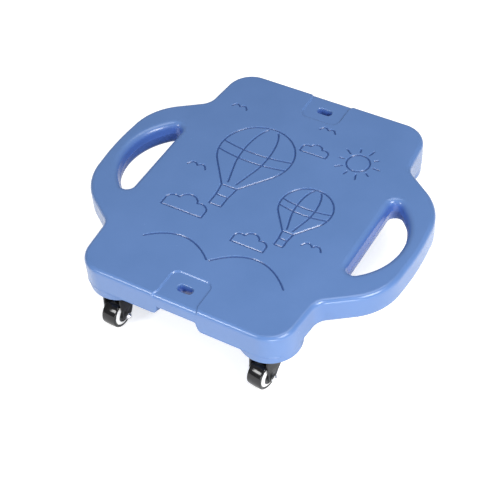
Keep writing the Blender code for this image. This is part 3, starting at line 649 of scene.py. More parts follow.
def scoopFeatures():
    rows = []
    for step in np.linspace(skinMesh["scoopFrom"], 1.0, skinMesh["scoopRows"]):
        out = (1 - step) ** skinMesh["scoopPower"]
        depths = np.arange(-past, scoop["length"] - scoop["endRun"], skinMesh["scoopStep"])
        places = [(depth, 1) for depth in depths]
        for a in quarterTurn(scoop["cornerSteps"]):
            depth = scoop["length"] - (1 - out * math.sin(a)) * scoop["endRun"]
            places.append((depth, math.cos(a)))
        rows.append([(scoopHalf(depth) - (1 - out * across) * scoop["sideRun"], endY - depth)
                     for depth, across in places])
    return bothEnds(rows, skinMesh["scoopGap"])


# Deck skin: wall, rounded edges, openings and slots as strips, the two faces as sheets

def topHeight(points):
    return deckTop - recessDrop(points[:, 0], points[:, 1])


def bottomHeight(points):
    return deckBottom + scoopRise(points[:, 0], points[:, 1])


def topSurface(lines):
    def height(points):
        x, y = np.abs(points[:, 0]), np.abs(points[:, 1])
        s = deckShape
        calm = smoothstep(x, *s["sinkX"]) * smoothstep(y, endY - s["sinkEnd"][0], endY - s["sinkEnd"][1])
        clear = smoothstep(recessDistance(x, y), 0, s["sinkRecess"])
        sunk = sinkDrop(points[:, 0], points[:, 1]) * calm * clear
        return topHeight(points) - grooveDrop(points, lines) - sunk
    return height


def deckWall(mesh):
    s = deckShape
    m = skinMesh
    xy, normals = deckOutline()
    blend = smoothstep(np.abs(xy[:, 0]), s["endX"] - s["blend"] / 2, s["endX"] + s["blend"] / 2)
    rim = lerp(s["rimEnd"], s["rimGrip"], blend)
    foot = lerp(s["footEnd"], s["footGrip"], blend)
    rise = scoopRise(xy[:, 0], xy[:, 1])
    right, left = (scoopRise(xy[:, 0] + nudge, xy[:, 1]) for nudge in (m["walk"], -m["walk"]))
    slope = np.abs(right - left) / (2 * m["walk"])
    lean = np.hypot(1, slope)
    foot = lerp(foot, s["footScoop"], smoothstep(rise, *scoop["edgeRise"]))
    foot = lerp(foot, scoop["sideEdge"], smoothstep(slope, *scoop["edgeSlope"]))
    rings = []
    for a in quarterTurn(m["rimRings"]):
        place = xy - normals * (rim * (1 - math.sin(a)))[:, None]
        z = topHeight(place) - rim * (1 - math.cos(a))
        rings.append(addRing(mesh, np.column_stack([place, z])))
    seamShare = 1 - smoothstep(rise, *scoop["seamRise"])
    seam, half = s["seamRise"], s["seamHalf"]
    room = z - deckBottom - rise
    levels = [lerp(m["wallLevels"][0], room, share) for share in m["wallShares"]]
    levels += [*m["wallLevels"], *(seam + share * half for share in m["seamShares"]), *m["footLevels"]]
    for level in levels:
        near = np.minimum(level / lean, foot)
        inside = foot - np.sqrt(foot ** 2 - (foot - near) ** 2)
        bead = s["seamProud"] * np.maximum(0, 1 - np.abs(level - seam) / half) * seamShare
        place = xy + normals * (bead - inside)[:, None]
        rings.append(addRing(mesh, np.column_stack([place, bottomHeight(place) + level])))
    return addStrips(mesh, rings)


def openingWall(mesh, side):
    o = opening
    rings = []

    def ringAt(z, board, grip):
        rings.append(addLevel(mesh, openingRing(board, grip, side), z))

    def roundedEdge(face, drop, board, grip, angles):
        for a in angles:
            share = 1 - math.sin(a)
            ringAt(face + drop * (1 - math.cos(a)), o["draft"] + board * share, o["draft"] + grip * share)

    quarter = quarterTurn(o["rings"])
    roundedEdge(deckTop, -o["mouthGrip"], o["mouthBoard"], o["mouthGrip"], quarter)
    for k in o["beadShares"]:
        lean = -o["bead"] * (1 - abs(k)) + o["draft"] * o["partingDraft"]
        ringAt(deckTop - o["partingDrop"] + k * o["beadHalf"], lean, lean)
    roundedEdge(deckBottom, o["baseGrip"], o["baseBoard"], o["baseGrip"], quarter[::-1])
    return addStrips(mesh, rings)


def slotWall(mesh, side):
    s = slotShape
    middle = side * (endY - s["inset"])
    floor = deckTop - recess["depth"]
    ceiling = deckBottom + scoop["height"]
    mouth, lip = s["mouth"], s["lip"]
    steps = bulge(s["flare"] + mouth, floor - mouth, -mouth, mouth, quarterTurn(s["mouthSteps"]))
    steps += [(s["flare"] * (1 - share), floor - s["flareDepth"] * share) for share in s["flareShares"]]
    steps += bulge(lip, ceiling + lip, -lip, -lip, quarterTurn(s["lipSteps"])[::-1])
    rings = []
    for grow, z in steps:
        ring = boxRing(s["halfX"] + grow, s["halfY"] + grow, s["round"] + grow, middle, s["cornerSteps"])
        rings.append(addLevel(mesh, ring, z))
    return addStrips(mesh, rings)


def makeBoss(corner):
    place = joints[corner + "_swivel_turn"]["pos_m"]
    root = deckBottom + boss["root"]
    low = deckLow.z
    r = boss["round"]
    profile = [(0, root), (boss["radius"], root)]
    profile += bulge(boss["radius"] - r, low + r, r, -r, quarterTurn(boss["roundSteps"])[::-1])
    thing = turned("boss", profile + [(0, low)], boss["steps"])
    thing.location = (place[0], place[1], 0)
    return thing


def makeDeck():
    mesh = newMesh()
    lines = pictureLines()
    rimRing, footRing = deckWall(mesh)
    holes = [openingWall(mesh, side) for side in (1, -1)]
    holes += [slotWall(mesh, side) for side in (1, -1)]
    features = np.vstack([grooveFeatures(lines), recessFeatures()])
    tops = [rimRing] + [top for top, base in holes]
    bases = [footRing] + [base for top, base in holes]
    fillSheet(mesh, tops, features, topSurface(lines), skinMesh["gridTop"])
    fillSheet(mesh, bases, scoopFeatures(), bottomHeight, skinMesh["gridBottom"])
    deck = toObject(mesh, "deck_skin", deckShape["sharp"])
    for corner in corners:
        cut(deck, makeBoss(corner), "UNION", deckShape["sharp"])
    normals = deck.modifiers.new("Normals", "WEIGHTED_NORMAL")
    normals.mode = "FACE_AREA_WITH_ANGLE"
    normals.keep_sharp = True
    print("deck skin:", len(deck.data.polygons), "faces")
    return deck


# Casters. Every piece is made once, about the kingpin's axis or the axle's, and placed at each corner

wheelShape = {
    "radius": 0.0195, "treadHalf": 0.0086, "tyreHalf": 0.0099, "shoulderDrop": 0.0022, "crown": 0.0004,
    "shoulderSteps": 8, "crownShares": (0.8, 0.6, 0.4, 0.2),
    "beadDrop": 0.0002, "beadWidth": 0.0006, "beadRise": 0.00015,    # the tyre's edge at the ring
    "seatRadius": 0.0125, "seatHalf": 0.0065, "ringOuter": 0.0153, "ringOuterHalf": 0.0096,
    "ringInner": 0.0108, "ringInnerHalf": 0.0114, "ringLip": 0.0005,
    "lipInner": ((0, -1), (0.3, -0.3), (1, -0.2)), "lipOuter": ((-1, 0.35), (0, -0.4)),   # in ring lips
    "floorHalf": 0.0090, "coreBore": 0.0051, "steps": 112, "sharp": 50,
}

bushShape = {
    "flangeHalf": 0.0115, "radius": 0.0048, "partHalf": 0.0010, "bore": 0.0028,
    "hub": 0.0052, "dishStart": 0.0058, "dishDepth": 0.0006, "rimDrop": 0.0001,
    "dishEnd": 0.0016, "rimStart": 0.0010, "rimEnd": 0.0003,     # inward from the flange's edge
    "edge": 0.0005, "steps": 80,
}

axleShape = {
    "radius": 0.0025, "flats": 0.0080, "headHeight": 0.0036, "nutHeight": 0.0046, "over": 0.0014,
    "chamfer": math.radians(30), "chamferInner": 0.97, "cornerGap": 0.0004, "hexSharp": 20,
    "tipDrop": 0.0004, "tipInset": 0.0006, "threadPitch": 0.0005, "threadDepth": 0.00018,
    "collar": 0.0012, "collarOuter": 0.93, "collarInner": 0.80, "collarDrop": 0.9, "collarRoot": 0.0005,
    "collarAngles": (0.5, 1.0, 1.5), "steps": 48,
}

forkShape = {
    "sheet": 0.0020, "legHalf": 0.0142, "shoulderHalf": 0.0126, "bendRise": 0.0125, "bendRound": 0.0080,
    "rise": 0.0372, "crownRound": 0.0032, "crownRadius": 0.0158, "legEnd": 0.0067,
    "lean": math.radians(48), "frontRise": 0.0305, "frontRound": 0.0110, "crownSlope": math.radians(30),
    "edge": 0.00045, "kingpinBore": 0.0033, "backShare": 1.1, "boreSteps": 40,
    "bendSteps": 9, "legSteps": 14, "crownSteps": 24,
}

swivelShape = {
    "ballRadius": 0.0015, "ballCircle": 0.0090, "ballCount": 16, "ballSink": 0.0003,
    "ballSegments": 14, "ballRings": 10,
    "sheet": 0.0014, "skirt": 0.0008, "edge": 0.0002, "corner": 0.0003, "sharp": 50,
    "bendAngles": (0, 0.4, 0.8, 1.2, 1.57),
    "pinRadius": 0.0030, "headRadius": 0.0060, "headHeight": 0.0034, "headAngles": (0.5, 0.9, 1.3, 1.57),
    "footRadius": 0.0048, "footHeight": 0.0022, "footEdge": 0.0004,
    "footAngles": (1.57, 1.3, 1.0, 0.7, 0.4, 0.2), "steps": 64,
}

plateShape = {
    "length": 0.0500, "width": 0.0420, "thick": 0.0021, "round": 0.0060, "edge": 0.0004, "holeSteps": 36,
    "screwX": 0.0190, "screwY": 0.0140, "screwRadius": 0.0019, "holeRadius": 0.0022,
    "headRadius": 0.0036, "headHeight": 0.0022, "headEdge": 0.0007,
    "headAngles": (1.57, 1.35, 1.1, 0.85, 0.6, 0.35, 0.15), "crossLength": 0.0040,
    "crossWidth": 0.0008, "crossDepth": 0.0013, "crossTaper": 0.45, "reach": 0.0030, "screwSteps": 40,
}

# heights of the swivel, from the axle upward
axleZ = joints["front_left_wheel_roll"]["pos_m"][2]
crownZ = axleZ + forkShape["rise"]
ballZ = crownZ + swivelShape["ballRadius"] - swivelShape["ballSink"]
raceZ = ballZ + swivelShape["ballRadius"] + fit
plateZ = raceZ + swivelShape["sheet"] + fit
plateTop = plateZ + plateShape["thick"]
trail = (Vector(joints["back_left_wheel_roll"]["pos_m"][:2])
         - Vector(joints["back_left_swivel_turn"]["pos_m"][:2])).length


def bothSides(half):
    return half + [(r, -x) for r, x in reversed(half)]


def makeTyre():
    w = wheelShape
    profile = [
        (w["seatRadius"] + fit, w["seatHalf"]),
        (w["ringOuter"] + fit, w["ringOuterHalf"] - w["beadDrop"]),
        (w["ringOuter"] + w["beadWidth"], w["ringOuterHalf"] + w["beadRise"]),
    ]
    drop = w["shoulderDrop"]
    profile += bulge(w["radius"] - w["crown"] - drop, w["treadHalf"], drop, w["tyreHalf"] - w["treadHalf"],
                     quarterTurn(w["shoulderSteps"]))
    profile += [(w["radius"] - w["crown"] * share ** 2, w["treadHalf"] * share) for share in w["crownShares"]]
    profile = bothSides(profile)
    profile.insert(len(profile) // 2, (w["radius"], 0))
    return turned("tyre", profile, w["steps"], ring=True, sharp=w["sharp"])


def makeCore():
    w = wheelShape
    lip = w["ringLip"]
    profile = [(w["coreBore"], w["floorHalf"]), (w["ringInner"], w["floorHalf"])]
    profile += [(w["ringInner"] + out * lip, w["ringInnerHalf"] + up * lip) for out, up in w["lipInner"]]
    profile += [(w["ringOuter"] + out * lip, w["ringOuterHalf"] + up * lip) for out, up in w["lipOuter"]]
    profile.append((w["seatRadius"], w["seatHalf"]))
    return turned("core", bothSides(profile), w["steps"], ring=True, sharp=w["sharp"])


def makeBush():
    b = bushShape
    flange = wheelShape["ringInner"] - fit
    seat = wheelShape["floorHalf"] + fit
    dish = b["flangeHalf"] - b["dishDepth"]
    rim = b["flangeHalf"] - b["rimDrop"]
    profile = [
        (b["bore"], b["flangeHalf"]), (b["hub"], b["flangeHalf"]),
        (b["dishStart"], dish), (flange - b["dishEnd"], dish),
        (flange - b["rimStart"], rim), (flange - b["rimEnd"], rim),
        (flange, b["flangeHalf"] - b["edge"]), (flange, seat),
        (b["radius"], seat), (b["radius"], b["partHalf"]), (b["bore"], b["partHalf"]),
    ]
    return turned("bush", profile, b["steps"], ring=True)


def hexagon(name, low, high, lowToo):
    # a hexagon whose corners fall away in a cone at the top, and below too if asked
    a = axleShape
    corner = a["flats"] / 2 / math.cos(math.pi / 6)
    points = [(corner * math.cos(math.pi * k / 3), corner * math.sin(math.pi * k / 3)) for k in range(6)]
    thing = slab(name, points, low, high, a["hexSharp"])
    inner = a["flats"] / 2 * a["chamferInner"]
    outer = corner + a["cornerGap"]
    drop = (outer - inner) * math.tan(a["chamfer"])
    profile = [(0, high), (inner, high), (outer, high - drop)]
    profile += [(outer, low + drop), (inner, low)] if lowToo else [(outer, low)]
    return cut(thing, turned("chamfer", profile + [(0, low)], a["steps"]), "INTERSECT")


def makeBolt():
    # the head lies at -Z of the axle, the threaded end at +Z
    a = axleShape
    seat = forkShape["legHalf"] + fit
    end = seat + a["nutHeight"] + a["over"]
    head = hexagon("bolt", seat, seat + a["headHeight"], False)
    head.data.transform(Matrix.Rotation(math.pi, 4, "X"))
    valley = a["radius"] - a["threadDepth"]
    z = end - a["tipDrop"]
    profile = [(0, end), (a["radius"] - a["tipInset"], end), (valley, z)]
    while z > seat + a["nutHeight"] - past:
        profile += [(a["radius"], z - a["threadPitch"] / 2), (valley, z - a["threadPitch"])]
        z -= a["threadPitch"]
    low = -seat - a["headHeight"] / 2
    profile += [(a["radius"], z - a["threadPitch"]), (a["radius"], low), (0, low)]
    return cut(head, turned("shank", profile, a["steps"]), "UNION")


def makeNut():
    a = axleShape
    low = forkShape["legHalf"] + fit
    high = low + a["nutHeight"]
    flat = high - a["collar"]
    nut = hexagon("nut", low, flat, True)
    radius = a["flats"] / 2 * a["collarOuter"]
    inner = radius * a["collarInner"]
    drop = a["collar"] * a["collarDrop"]
    profile = [(0, high), (inner, high)]
    profile += bulge(inner, high - drop, radius - inner, drop, a["collarAngles"])
    profile += [(radius, flat - a["collarRoot"]), (0, flat - a["collarRoot"])]
    cut(nut, turned("collar", profile, a["steps"]), "UNION")
    return cut(nut, rod("bore", a["radius"] + fit, low - past, high + past, a["steps"]))


def forkSkin():
    # crown, bends and legs as one bent sheet, wider than the fork from front to back
    f = forkShape
    foot = axleZ - 2 * f["legEnd"]
    bend = axleZ + f["bendRise"]

    def section(inset):
        leg = f["legHalf"] - inset
        shoulder = f["shoulderHalf"] - inset
        right = [
            (leg, foot, 0),
            (leg, bend, f["bendRound"] + inset),
            (shoulder, crownZ - inset, f["crownRound"] - inset),
        ]
        return filleted(right + [(-x, z, r) for x, z, r in right[::-1]], f["bendSteps"])

    outline = section(0) + section(f["sheet"])[::-1]
    skin = slab("fork", outline, -trail - 2 * f["legEnd"], 2 * f["crownRadius"])
    skin.data.transform(rightAngle("X") @ Matrix.Scale(-1, 4, (0, 0, 1)))
    skin.data.flip_normals()
    return skin


def legOutline():
    f = forkShape
    end = f["legEnd"]
    front = -trail - end
    back = f["backShare"] * f["crownRadius"]
    over = crownZ + f["sheet"]
    knee = axleZ + f["frontRise"]
    leanY = -trail + end / math.sin(f["lean"])
    return filleted([
        (front, axleZ - end, end),
        (-trail + end * math.tan(f["lean"] / 2), axleZ - end, end),
        (back, axleZ + (back - leanY) * math.tan(f["lean"]), f["crownRound"]),
        (back, over, 0),
        (front + (over - knee) / math.tan(f["crownSlope"]), over, 0),
        (front, knee, f["frontRound"]),
    ], f["legSteps"])


def makeFork():
    f = forkShape
    fork = forkSkin()
    wide = 2 * f["legHalf"]
    side = slab("side", legOutline(), -wide, wide)
    side.data.transform(rightAngle("Z") @ rightAngle("X"))
    cut(fork, side, "INTERSECT")
    radius = f["crownRadius"]
    front = -trail - 2 * f["legEnd"]
    plan = [(radius, front, 0), (radius, radius, radius), (-radius, radius, radius), (-radius, front, 0)]
    cut(fork, slab("plan", filleted(plan, f["crownSteps"]), 0, 2 * crownZ), "INTERSECT")
    low = crownZ - f["sheet"] - past
    cut(fork, rod("kingpinHole", f["kingpinBore"], low, crownZ + past, f["boreSteps"]))
    axleHole = rod("axleHole", axleShape["radius"] + fit, -wide, wide, f["boreSteps"])
    axleHole.data.transform(Matrix.Translation((0, -trail, axleZ)) @ rightAngle("Y"))
    cut(fork, axleHole)
    return roundEdges(fork, f["edge"])


def makeBalls():
    s = swivelShape
    data = bpy.data.meshes.new("balls")
    bm = bmesh.new()
    for k in range(s["ballCount"]):
        a = 2 * math.pi * (k + 0.5) / s["ballCount"]
        place = Matrix.Translation((s["ballCircle"] * math.cos(a), s["ballCircle"] * math.sin(a), ballZ))
        bmesh.ops.create_uvsphere(bm, u_segments=s["ballSegments"], v_segments=s["ballRings"],
                                  radius=s["ballRadius"], matrix=place)
    bm.to_mesh(data)
    bm.free()
    shadeSmooth(data, 180)
    return added("balls", data)


def makeKingpin():
    s = swivelShape
    seat = plateTop + fit
    foot = crownZ - forkShape["sheet"] - fit
    edge = s["footEdge"]
    profile = [(0, seat + s["headHeight"])]
    profile += bulge(0, seat, s["headRadius"], s["headHeight"], s["headAngles"])
    profile += [(s["pinRadius"], seat), (s["pinRadius"], foot), (s["footRadius"], foot)]
    profile += bulge(0, foot - edge, s["footRadius"], edge - s["footHeight"], s["footAngles"])
    return turned("kingpin", profile + [(0, foot - s["footHeight"])], s["steps"])


def makeRace():
    s = swivelShape
    inner = s["ballCircle"] + s["ballRadius"] + fit
    outer = inner + s["sheet"]
    top = raceZ + s["sheet"]
    lip = crownZ + s["skirt"]
    edge = s["edge"]
    bore = forkShape["kingpinBore"]
    profile = [(bore, top)] + bulge(inner, raceZ, s["sheet"], s["sheet"], s["bendAngles"])
    profile += [(outer, lip + edge), (outer - edge, lip), (inner + edge, lip), (inner, lip + edge)]
    profile += [(inner, raceZ + s["corner"]), (inner - s["corner"], raceZ), (bore, raceZ)]
    return turned("race", profile, s["steps"], ring=True, sharp=s["sharp"])


def screwPlaces():
    p = plateShape
    return [(sx * p["screwX"], sy * p["screwY"]) for sx in (-1, 1) for sy in (-1, 1)]


def makePlate():
    p = plateShape
    x = p["length"] / 2
    y = p["width"] / 2
    outline = filleted([(sx * x, sy * y, p["round"]) for sx, sy in ((1, -1), (1, 1), (-1, 1), (-1, -1))])
    plate = slab("plate", outline, plateZ, plateTop)
    holes = [(0, 0, forkShape["kingpinBore"])]
    holes += [(screwX, screwY, p["holeRadius"]) for screwX, screwY in screwPlaces()]
    for holeX, holeY, radius in holes:
        hole = rod("hole", radius, plateZ - 2 * past, plateTop + 2 * past, p["holeSteps"])
        hole.data.transform(Matrix.Translation((holeX, holeY, 0)))
        cut(plate, hole)
    return roundEdges(plate, p["edge"])


def makeScrew():
    p = plateShape
    seat = plateZ - fit
    low = seat - p["headHeight"]
    end = plateTop + p["reach"]
    edge = p["headEdge"]
    profile = [(0, end), (p["screwRadius"], end), (p["screwRadius"], seat), (p["headRadius"], seat)]
    profile += bulge(0, seat - edge, p["headRadius"], edge - p["headHeight"], p["headAngles"])
    screw = turned("screw", profile + [(0, low)], p["screwSteps"])
    x = p["crossLength"] / 2
    y = p["crossWidth"] / 2
    for turn in (0, math.pi / 2):
        blade = slab("blade", [(-x, -y), (x, -y), (x, y), (-x, y)], low - past, low + p["crossDepth"])
        for vert in blade.data.vertices:  # the recess narrows toward its bottom
            if vert.co.z > low:
                vert.co.x *= p["crossTaper"]
        blade.data.transform(Matrix.Rotation(turn, 4, "Z"))
        cut(screw, blade)
    return screw


# Finishes

def newFinish(name):
    surface = bpy.data.materials.new(name)
    surface.use_nodes = True
    return surface, surface.node_tree, surface.node_tree.nodes["Principled BSDF"]


def wired(tree, kind, sockets, output=0, **settings):
    # a node whose sockets hold numbers or are linked to other nodes' outputs
    node = tree.nodes.new("ShaderNode" + kind)
    for name, value in settings.items():
        setattr(node, name, value)
    for name, value in sockets.items():
        if isinstance(value, bpy.types.NodeSocket):
            tree.links.new(value, node.inputs[name])
        else:
            node.inputs[name].default_value = value
    return node.outputs[output]


def places(tree):
    return wired(tree, "TexCoord", {}, "Object")


def noise(tree, scale, detail, rough):
    sockets = {"Vector": places(tree), "Scale": scale, "Detail": detail, "Roughness": rough}
    return wired(tree, "TexNoise", sockets, "Fac")


def ramp(tree, value, low, high, colours):
    node = tree.nodes.new("ShaderNodeValToRGB")
    node.color_ramp.elements[0].position = low
    node.color_ramp.elements[1].position = high
    for element, colour in zip(node.color_ramp.elements, colours):
        element.color = (*colour, 1)
    tree.links.new(value, node.inputs["Fac"])
    return node.outputs["Color"]


def spread(tree, value, start, stop, low, high):
    sockets = {"Value": value, "From Min": start, "From Max": stop, "To Min": low, "To Max": high}
    return wired(tree, "MapRange", sockets)


def bump(tree, value, distance, strength):
    return wired(tree, "Bump", {"Height": value, "Distance": distance, "Strength": strength})


def worked(tree, operation, *values):
    return wired(tree, "Math", dict(enumerate(values)), operation=operation)


def mixed(tree, share, colour, other):
    return wired(tree, "MixRGB", {"Fac": share, "Color1": colour, "Color2": (*other, 1)})


# clouds and smears are scales; grain is a scale, a depth and a strength; scuffs a scale and a strength
finishes = {
    "deck_blue": {
        "colour": (0.100, 0.198, 0.442), "paler": (0.110, 0.212, 0.468), "worn": (0.20, 0.31, 0.56),
        "rough": (0.20, 0.27), "metallic": 0.0, "ior": 1.55,
        "clouds": 14, "smears": 45, "grain": (900, 0.00006, 0.10), "scuffs": (160, 0.06),
    },
    "tyre_black": {
        "colour": (0.006, 0.006, 0.007), "paler": (0.010, 0.010, 0.011), "worn": (0.05, 0.049, 0.047),
        "rough": (0.09, 0.15), "metallic": 0.0, "ior": 1.46,
        "clouds": 90, "smears": 260, "grain": (2600, 0.00004, 0.08), "scuffs": (700, 0.25),
    },
    "core_white": {
        "colour": (0.86, 0.86, 0.85), "paler": (0.90, 0.90, 0.89), "worn": (0.70, 0.69, 0.67),
        "rough": (0.28, 0.38), "metallic": 0.0, "ior": 1.53,
        "clouds": 120, "smears": 300, "grain": (2400, 0.00004, 0.08), "scuffs": (800, 0.20),
    },
    "bush_black": {
        "colour": (0.012, 0.012, 0.013), "paler": (0.020, 0.020, 0.022), "worn": (0.07, 0.07, 0.07),
        "rough": (0.38, 0.50), "metallic": 0.0, "ior": 1.53,
        "clouds": 120, "smears": 300, "grain": (2000, 0.00006, 0.20), "scuffs": (900, 0.25),
    },
    "black_fork": {
        "colour": (0.007, 0.007, 0.008), "paler": (0.012, 0.012, 0.013), "worn": (0.08, 0.08, 0.08),
        "rough": (0.30, 0.40), "metallic": 0.0, "ior": 1.38,
        "clouds": 90, "smears": 240, "grain": (1500, 0.00006, 0.20), "scuffs": (600, 0.20),
    },
    "bright_steel": {
        "colour": (0.74, 0.75, 0.77), "paler": (0.82, 0.83, 0.85), "worn": (0.45, 0.44, 0.42),
        "rough": (0.12, 0.22), "metallic": 1.0, "ior": 1.5,
        "clouds": 200, "smears": 500, "grain": (3000, 0.00003, 0.15), "scuffs": (1200, 0.30),
    },
    "zinc_steel": {
        "colour": (0.56, 0.57, 0.60), "paler": (0.66, 0.67, 0.69), "worn": (0.34, 0.33, 0.31),
        "rough": (0.24, 0.38), "metallic": 1.0, "ior": 1.5,
        "clouds": 150, "smears": 400, "grain": (1800, 0.00004, 0.20), "scuffs": (700, 0.30),
    },
}

layers = {  # each noise's detail and roughness, and the range of it that counts, in every finish
    "clouds": (4, 0.5), "cloudRange": (0.35, 0.65), "smears": (5, 0.6), "smearRange": (0.3, 0.7),
    "scuffs": (8, 0.75), "scuffRange": (0.60, 0.72), "scuffDull": 0.5, "grain": (2, 0.5),
}

paintedShades = [  # painted shade: a deeper colour inside the engraved lines, the hand openings and the rope slots, where shade falls
    {"colour": (0.018, 0.055, 0.210), "strength": 0.80, "clear": 0.00025, "full": 0.0010,
     "fade": 0.0030, "none": 0.0040, "X": (-0.001, 0.125), "Y": (-0.001, 0.150)},
    {"colour": (0.058, 0.135, 0.480), "strength": 0.76, "clear": 0.0010, "full": 0.0080,
     "fade": 0.0240, "none": 0.0340, "X": (0.1375, 0.1990), "Y": (-0.001, 0.078)},
    {"colour": (0.050, 0.120, 0.460), "strength": 0.76, "clear": 0.0024, "full": 0.0060,
     "fade": 0.0240, "none": 0.0340, "X": (-0.001, 0.0115), "Y": (0.166, 0.1815)},
]


def withPaintedShade(tree, colour, shadeBand):
    # painted shade, mixed in between two depths under the deck's top, within a range of X and of Y on both sides
    z = wired(tree, "SeparateXYZ", {"Vector": places(tree)}, "Z")
    below = spread(tree, z, deckTop - shadeBand["full"], deckTop - shadeBand["clear"], shadeBand["strength"], 0)
    above = spread(tree, z, deckTop - shadeBand["none"], deckTop - shadeBand["fade"], 0, 1)
    share = worked(tree, "MULTIPLY", below, above)
    for axis in "XY":
        size = worked(tree, "ABSOLUTE", z.node.outputs[axis])
        for operation, reach in zip(("GREATER_THAN", "LESS_THAN"), shadeBand[axis]):
            share = worked(tree, "MULTIPLY", share, worked(tree, operation, size, reach))
    return mixed(tree, share, colour, shadeBand["colour"])


def makeFinish(name):
    # clouded colour, smeared gloss, a fine grain, and scuffs that are paler and duller
    f = finishes[name]
    surface, tree, shader = newFinish(name + "_finish")
    clouds = noise(tree, f["clouds"], *layers["clouds"])
    colour = ramp(tree, clouds, *layers["cloudRange"], (f["colour"], f["paler"]))
    scuffScale, scuffStrength = f["scuffs"]
    scuffs = noise(tree, scuffScale, *layers["scuffs"])
    worn = spread(tree, scuffs, *layers["scuffRange"], 0, scuffStrength)
    shown = mixed(tree, worn, colour, f["worn"])
    # the deck gets painted shade inside its engraved lines, hand openings and rope slots
    if name == "deck_blue":
        for shadeBand in paintedShades:
            shown = withPaintedShade(tree, shown, shadeBand)
    tree.links.new(shown, shader.inputs["Base Color"])
    smear = spread(tree, noise(tree, f["smears"], *layers["smears"]), *layers["smearRange"], *f["rough"])
    rough = worked(tree, "MULTIPLY_ADD", worn, layers["scuffDull"], smear)
    tree.links.new(rough, shader.inputs["Roughness"])
    grainScale, *grain = f["grain"]
    tree.links.new(bump(tree, noise(tree, grainScale, *layers["grain"]), *grain), shader.inputs["Normal"])
    shader.inputs["Metallic"].default_value = f["metallic"]
    shader.inputs["IOR"].default_value = f["ior"]
    return surface


# Stage: floor, lights and camera

stage = {
    "floorSize": 12.0, "floorColour": (0.86, 0.86, 0.86), "floorRough": 0.9, "floorLift": 0.62,
    "shadeIn": 0.16, "shadeOut": 0.26,       # within this reach the floor's mirror image keeps its shadow
    "worldColour": (1.0, 1.0, 1.0), "worldStrength": 0.29, "whiteStrength": 1.0,
}

lamps = [  # name, place, aim, width, height, watts
    ("frontLeft", (-0.58, -1.28, 0.97), (0, 0, 0.1), 0.40, 0.45, 9),
    ("right", (1.24, -0.42, 1.05), (0, 0, 0.1), 0.60, 0.60, 17.5),
    ("low", (0.90, -1.30, 0.18), (0, 0, 0.08), 0.70, 0.30, 9),
    ("overhead", (0.3, 0.3, 2.1), (0, 0, 0.1), 1.2, 1.2, 12.5),
]

cameraSet = {
    "place": (0.6016, -0.9553, 1.2167), "target": (0.0267, -0.0717, 0.0900),
    "roll": -4.38, "lens": 92.12, "sensor": 36.0,
}


def aimed(thing, place, target, roll=0.0):
    look = (Vector(target) - Vector(place)).to_track_quat("-Z", "Y")
    turn = look.to_matrix() @ Matrix.Rotation(math.radians(roll), 3, "Z")
    thing.matrix_world = Matrix.Translation(place) @ turn.to_4x4()


def makeFloor():
    half = stage["floorSize"] / 2
    square = [(x * half, y * half, 0) for x, y in ((-1, -1), (1, -1), (1, 1), (-1, 1))]
    data = bpy.data.meshes.new("floor")
    data.from_pydata(square, [], [(0, 1, 2, 3)])
    surface, tree, shader = newFinish("floor")
    shader.inputs["Base Color"].default_value = (*stage["floorColour"], 1)
    shader.inputs["Roughness"].default_value = stage["floorRough"]
    shader.inputs["Specular IOR Level"].default_value = 0.0
    shader.inputs["Emission Color"].default_value = (1, 1, 1, 1)
    reach = wired(tree, "VectorMath", {0: places(tree)}, "Value", operation="LENGTH")
    clear = spread(tree, reach, stage["shadeIn"], stage["shadeOut"], 0, 1)
    mirrored = worked(tree, "MULTIPLY", wired(tree, "LightPath", {}, "Is Glossy Ray"), clear)
    seen = worked(tree, "MAXIMUM", wired(tree, "LightPath", {}, "Is Camera Ray"), mirrored)
    lift = worked(tree, "MULTIPLY", seen, stage["floorLift"])
    tree.links.new(lift, shader.inputs["Emission Strength"])
    floor = added("floor", data)
    floor.data.materials.append(surface)


def makeWorld():
    world = bpy.data.worlds.new("studio")
    bpy.context.scene.world = world
    world.use_nodes = True
    tree = world.node_tree
    light = tree.nodes["Background"]
    light.inputs["Color"].default_value = (*stage["worldColour"], 1)
    light.inputs["Strength"].default_value = stage["worldStrength"]
    white = wired(tree, "Background", {"Strength": stage["whiteStrength"]})
    seen = wired(tree, "LightPath", {}, "Is Camera Ray")
    shown = wired(tree, "MixShader", {0: seen, 1: light.outputs[0], 2: white})
    tree.links.new(shown, tree.nodes["World Output"].inputs["Surface"])


def makeLamps():
    for name, place, target, width, height, watts in lamps:
        data = bpy.data.lights.new(name, "AREA")
        data.shape = "RECTANGLE"
        data.size = width
        data.size_y = height
        data.energy = watts
        aimed(added(name, data), place, target)


def makeCamera():
    data = bpy.data.cameras.new("camera")
    data.lens = cameraSet["lens"]
    data.sensor_width = cameraSet["sensor"]
    camera = added("camera", data)
    aimed(camera, cameraSet["place"], cameraSet["target"], cameraSet["roll"])
    bpy.context.scene.camera = camera


makeCamera()
makeFloor()
makeWorld()
makeLamps()
bpy.context.scene.view_settings.view_transform = "Standard"
print("stage set")

paints = {name: makeFinish(name) for name in finishes}
bodyOf = {node: body for body, nodes in frame["record"]["behaviour"]["bodies"].items() for node in nodes}


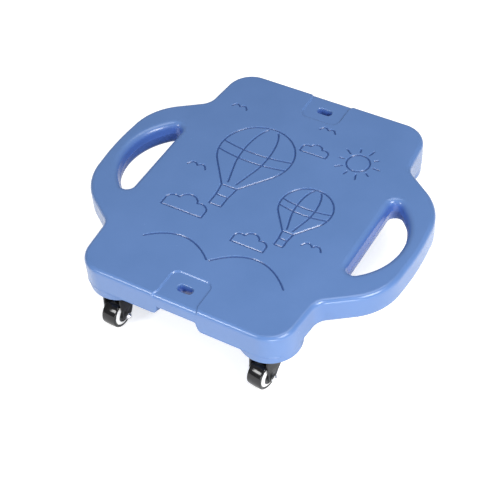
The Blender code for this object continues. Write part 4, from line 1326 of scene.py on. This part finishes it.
def placed(pattern, matrix, paint, body, node=None):
    piece = added((node or body + "_" + pattern.name) + "_skin", pattern.data.copy())
    piece.data.transform(matrix)
    piece.data.materials.append(paints[paint])
    if node:
        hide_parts(node)
    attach(piece, body)


deck = makeDeck()
deck.data.materials.append(paints["deck_blue"])
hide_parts("deck")
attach(deck, "deck")
print("deck made")

fixed = {  # pieces that stand on the deck: pattern and paint
    "mount_plate": (makePlate(), "zinc_steel"),
    "kingpin": (makeKingpin(), "bright_steel"),
    "upper_race": (makeRace(), "zinc_steel"),
}
turning = {  # pieces about the axle
    "axle_bolt": (makeBolt(), "bright_steel"),
    "axle_nut": (makeNut(), "bright_steel"),
    "wheel_core": (makeCore(), "core_white"),
    "tyre": (makeTyre(), "tyre_black"),
}
fork = makeFork()
balls = makeBalls()
screw = makeScrew()
bush = makeBush()
patterns = [pattern for pattern, paint in [*fixed.values(), *turning.values()]] + [fork, balls, screw, bush]
print("caster pieces made")

for corner in corners:
    pin = Vector(joints[corner + "_swivel_turn"]["pos_m"])
    axle = Vector(joints[corner + "_wheel_roll"]["pos_m"])
    mount = Matrix.Translation((pin.x, pin.y, 0))
    pivot = mount @ Matrix.Rotation(math.atan2(axle.x - pin.x, pin.y - axle.y), 4, "Z")
    hub = pivot @ Matrix.Translation((0, -trail, axleZ)) @ rightAngle("Y")
    for piece, (pattern, paint) in fixed.items():
        node = corner + "_" + piece
        placed(pattern, mount, paint, bodyOf[node], node)
    for number, (x, y) in enumerate(screwPlaces(), 1):
        node = f"{corner}_plate_screw_{number}"
        placed(screw, mount @ Matrix.Translation((x, y, 0)), "bright_steel", bodyOf[node], node)
    placed(fork, pivot, "black_fork", corner + "_swivel", corner + "_fork")
    placed(balls, pivot, "bright_steel", corner + "_swivel")
    for piece, (pattern, paint) in turning.items():
        node = corner + "_" + piece
        placed(pattern, hub, paint, bodyOf[node], node)
    flipped = hub @ Matrix.Rotation(math.pi, 4, "X")
    placed(bush, hub, "bush_black", corner + "_wheel", corner + "_bush_right")
    placed(bush, flipped, "bush_black", corner + "_wheel", corner + "_bush_left")
for pattern in patterns:
    bpy.data.objects.remove(pattern)
print("casters placed")
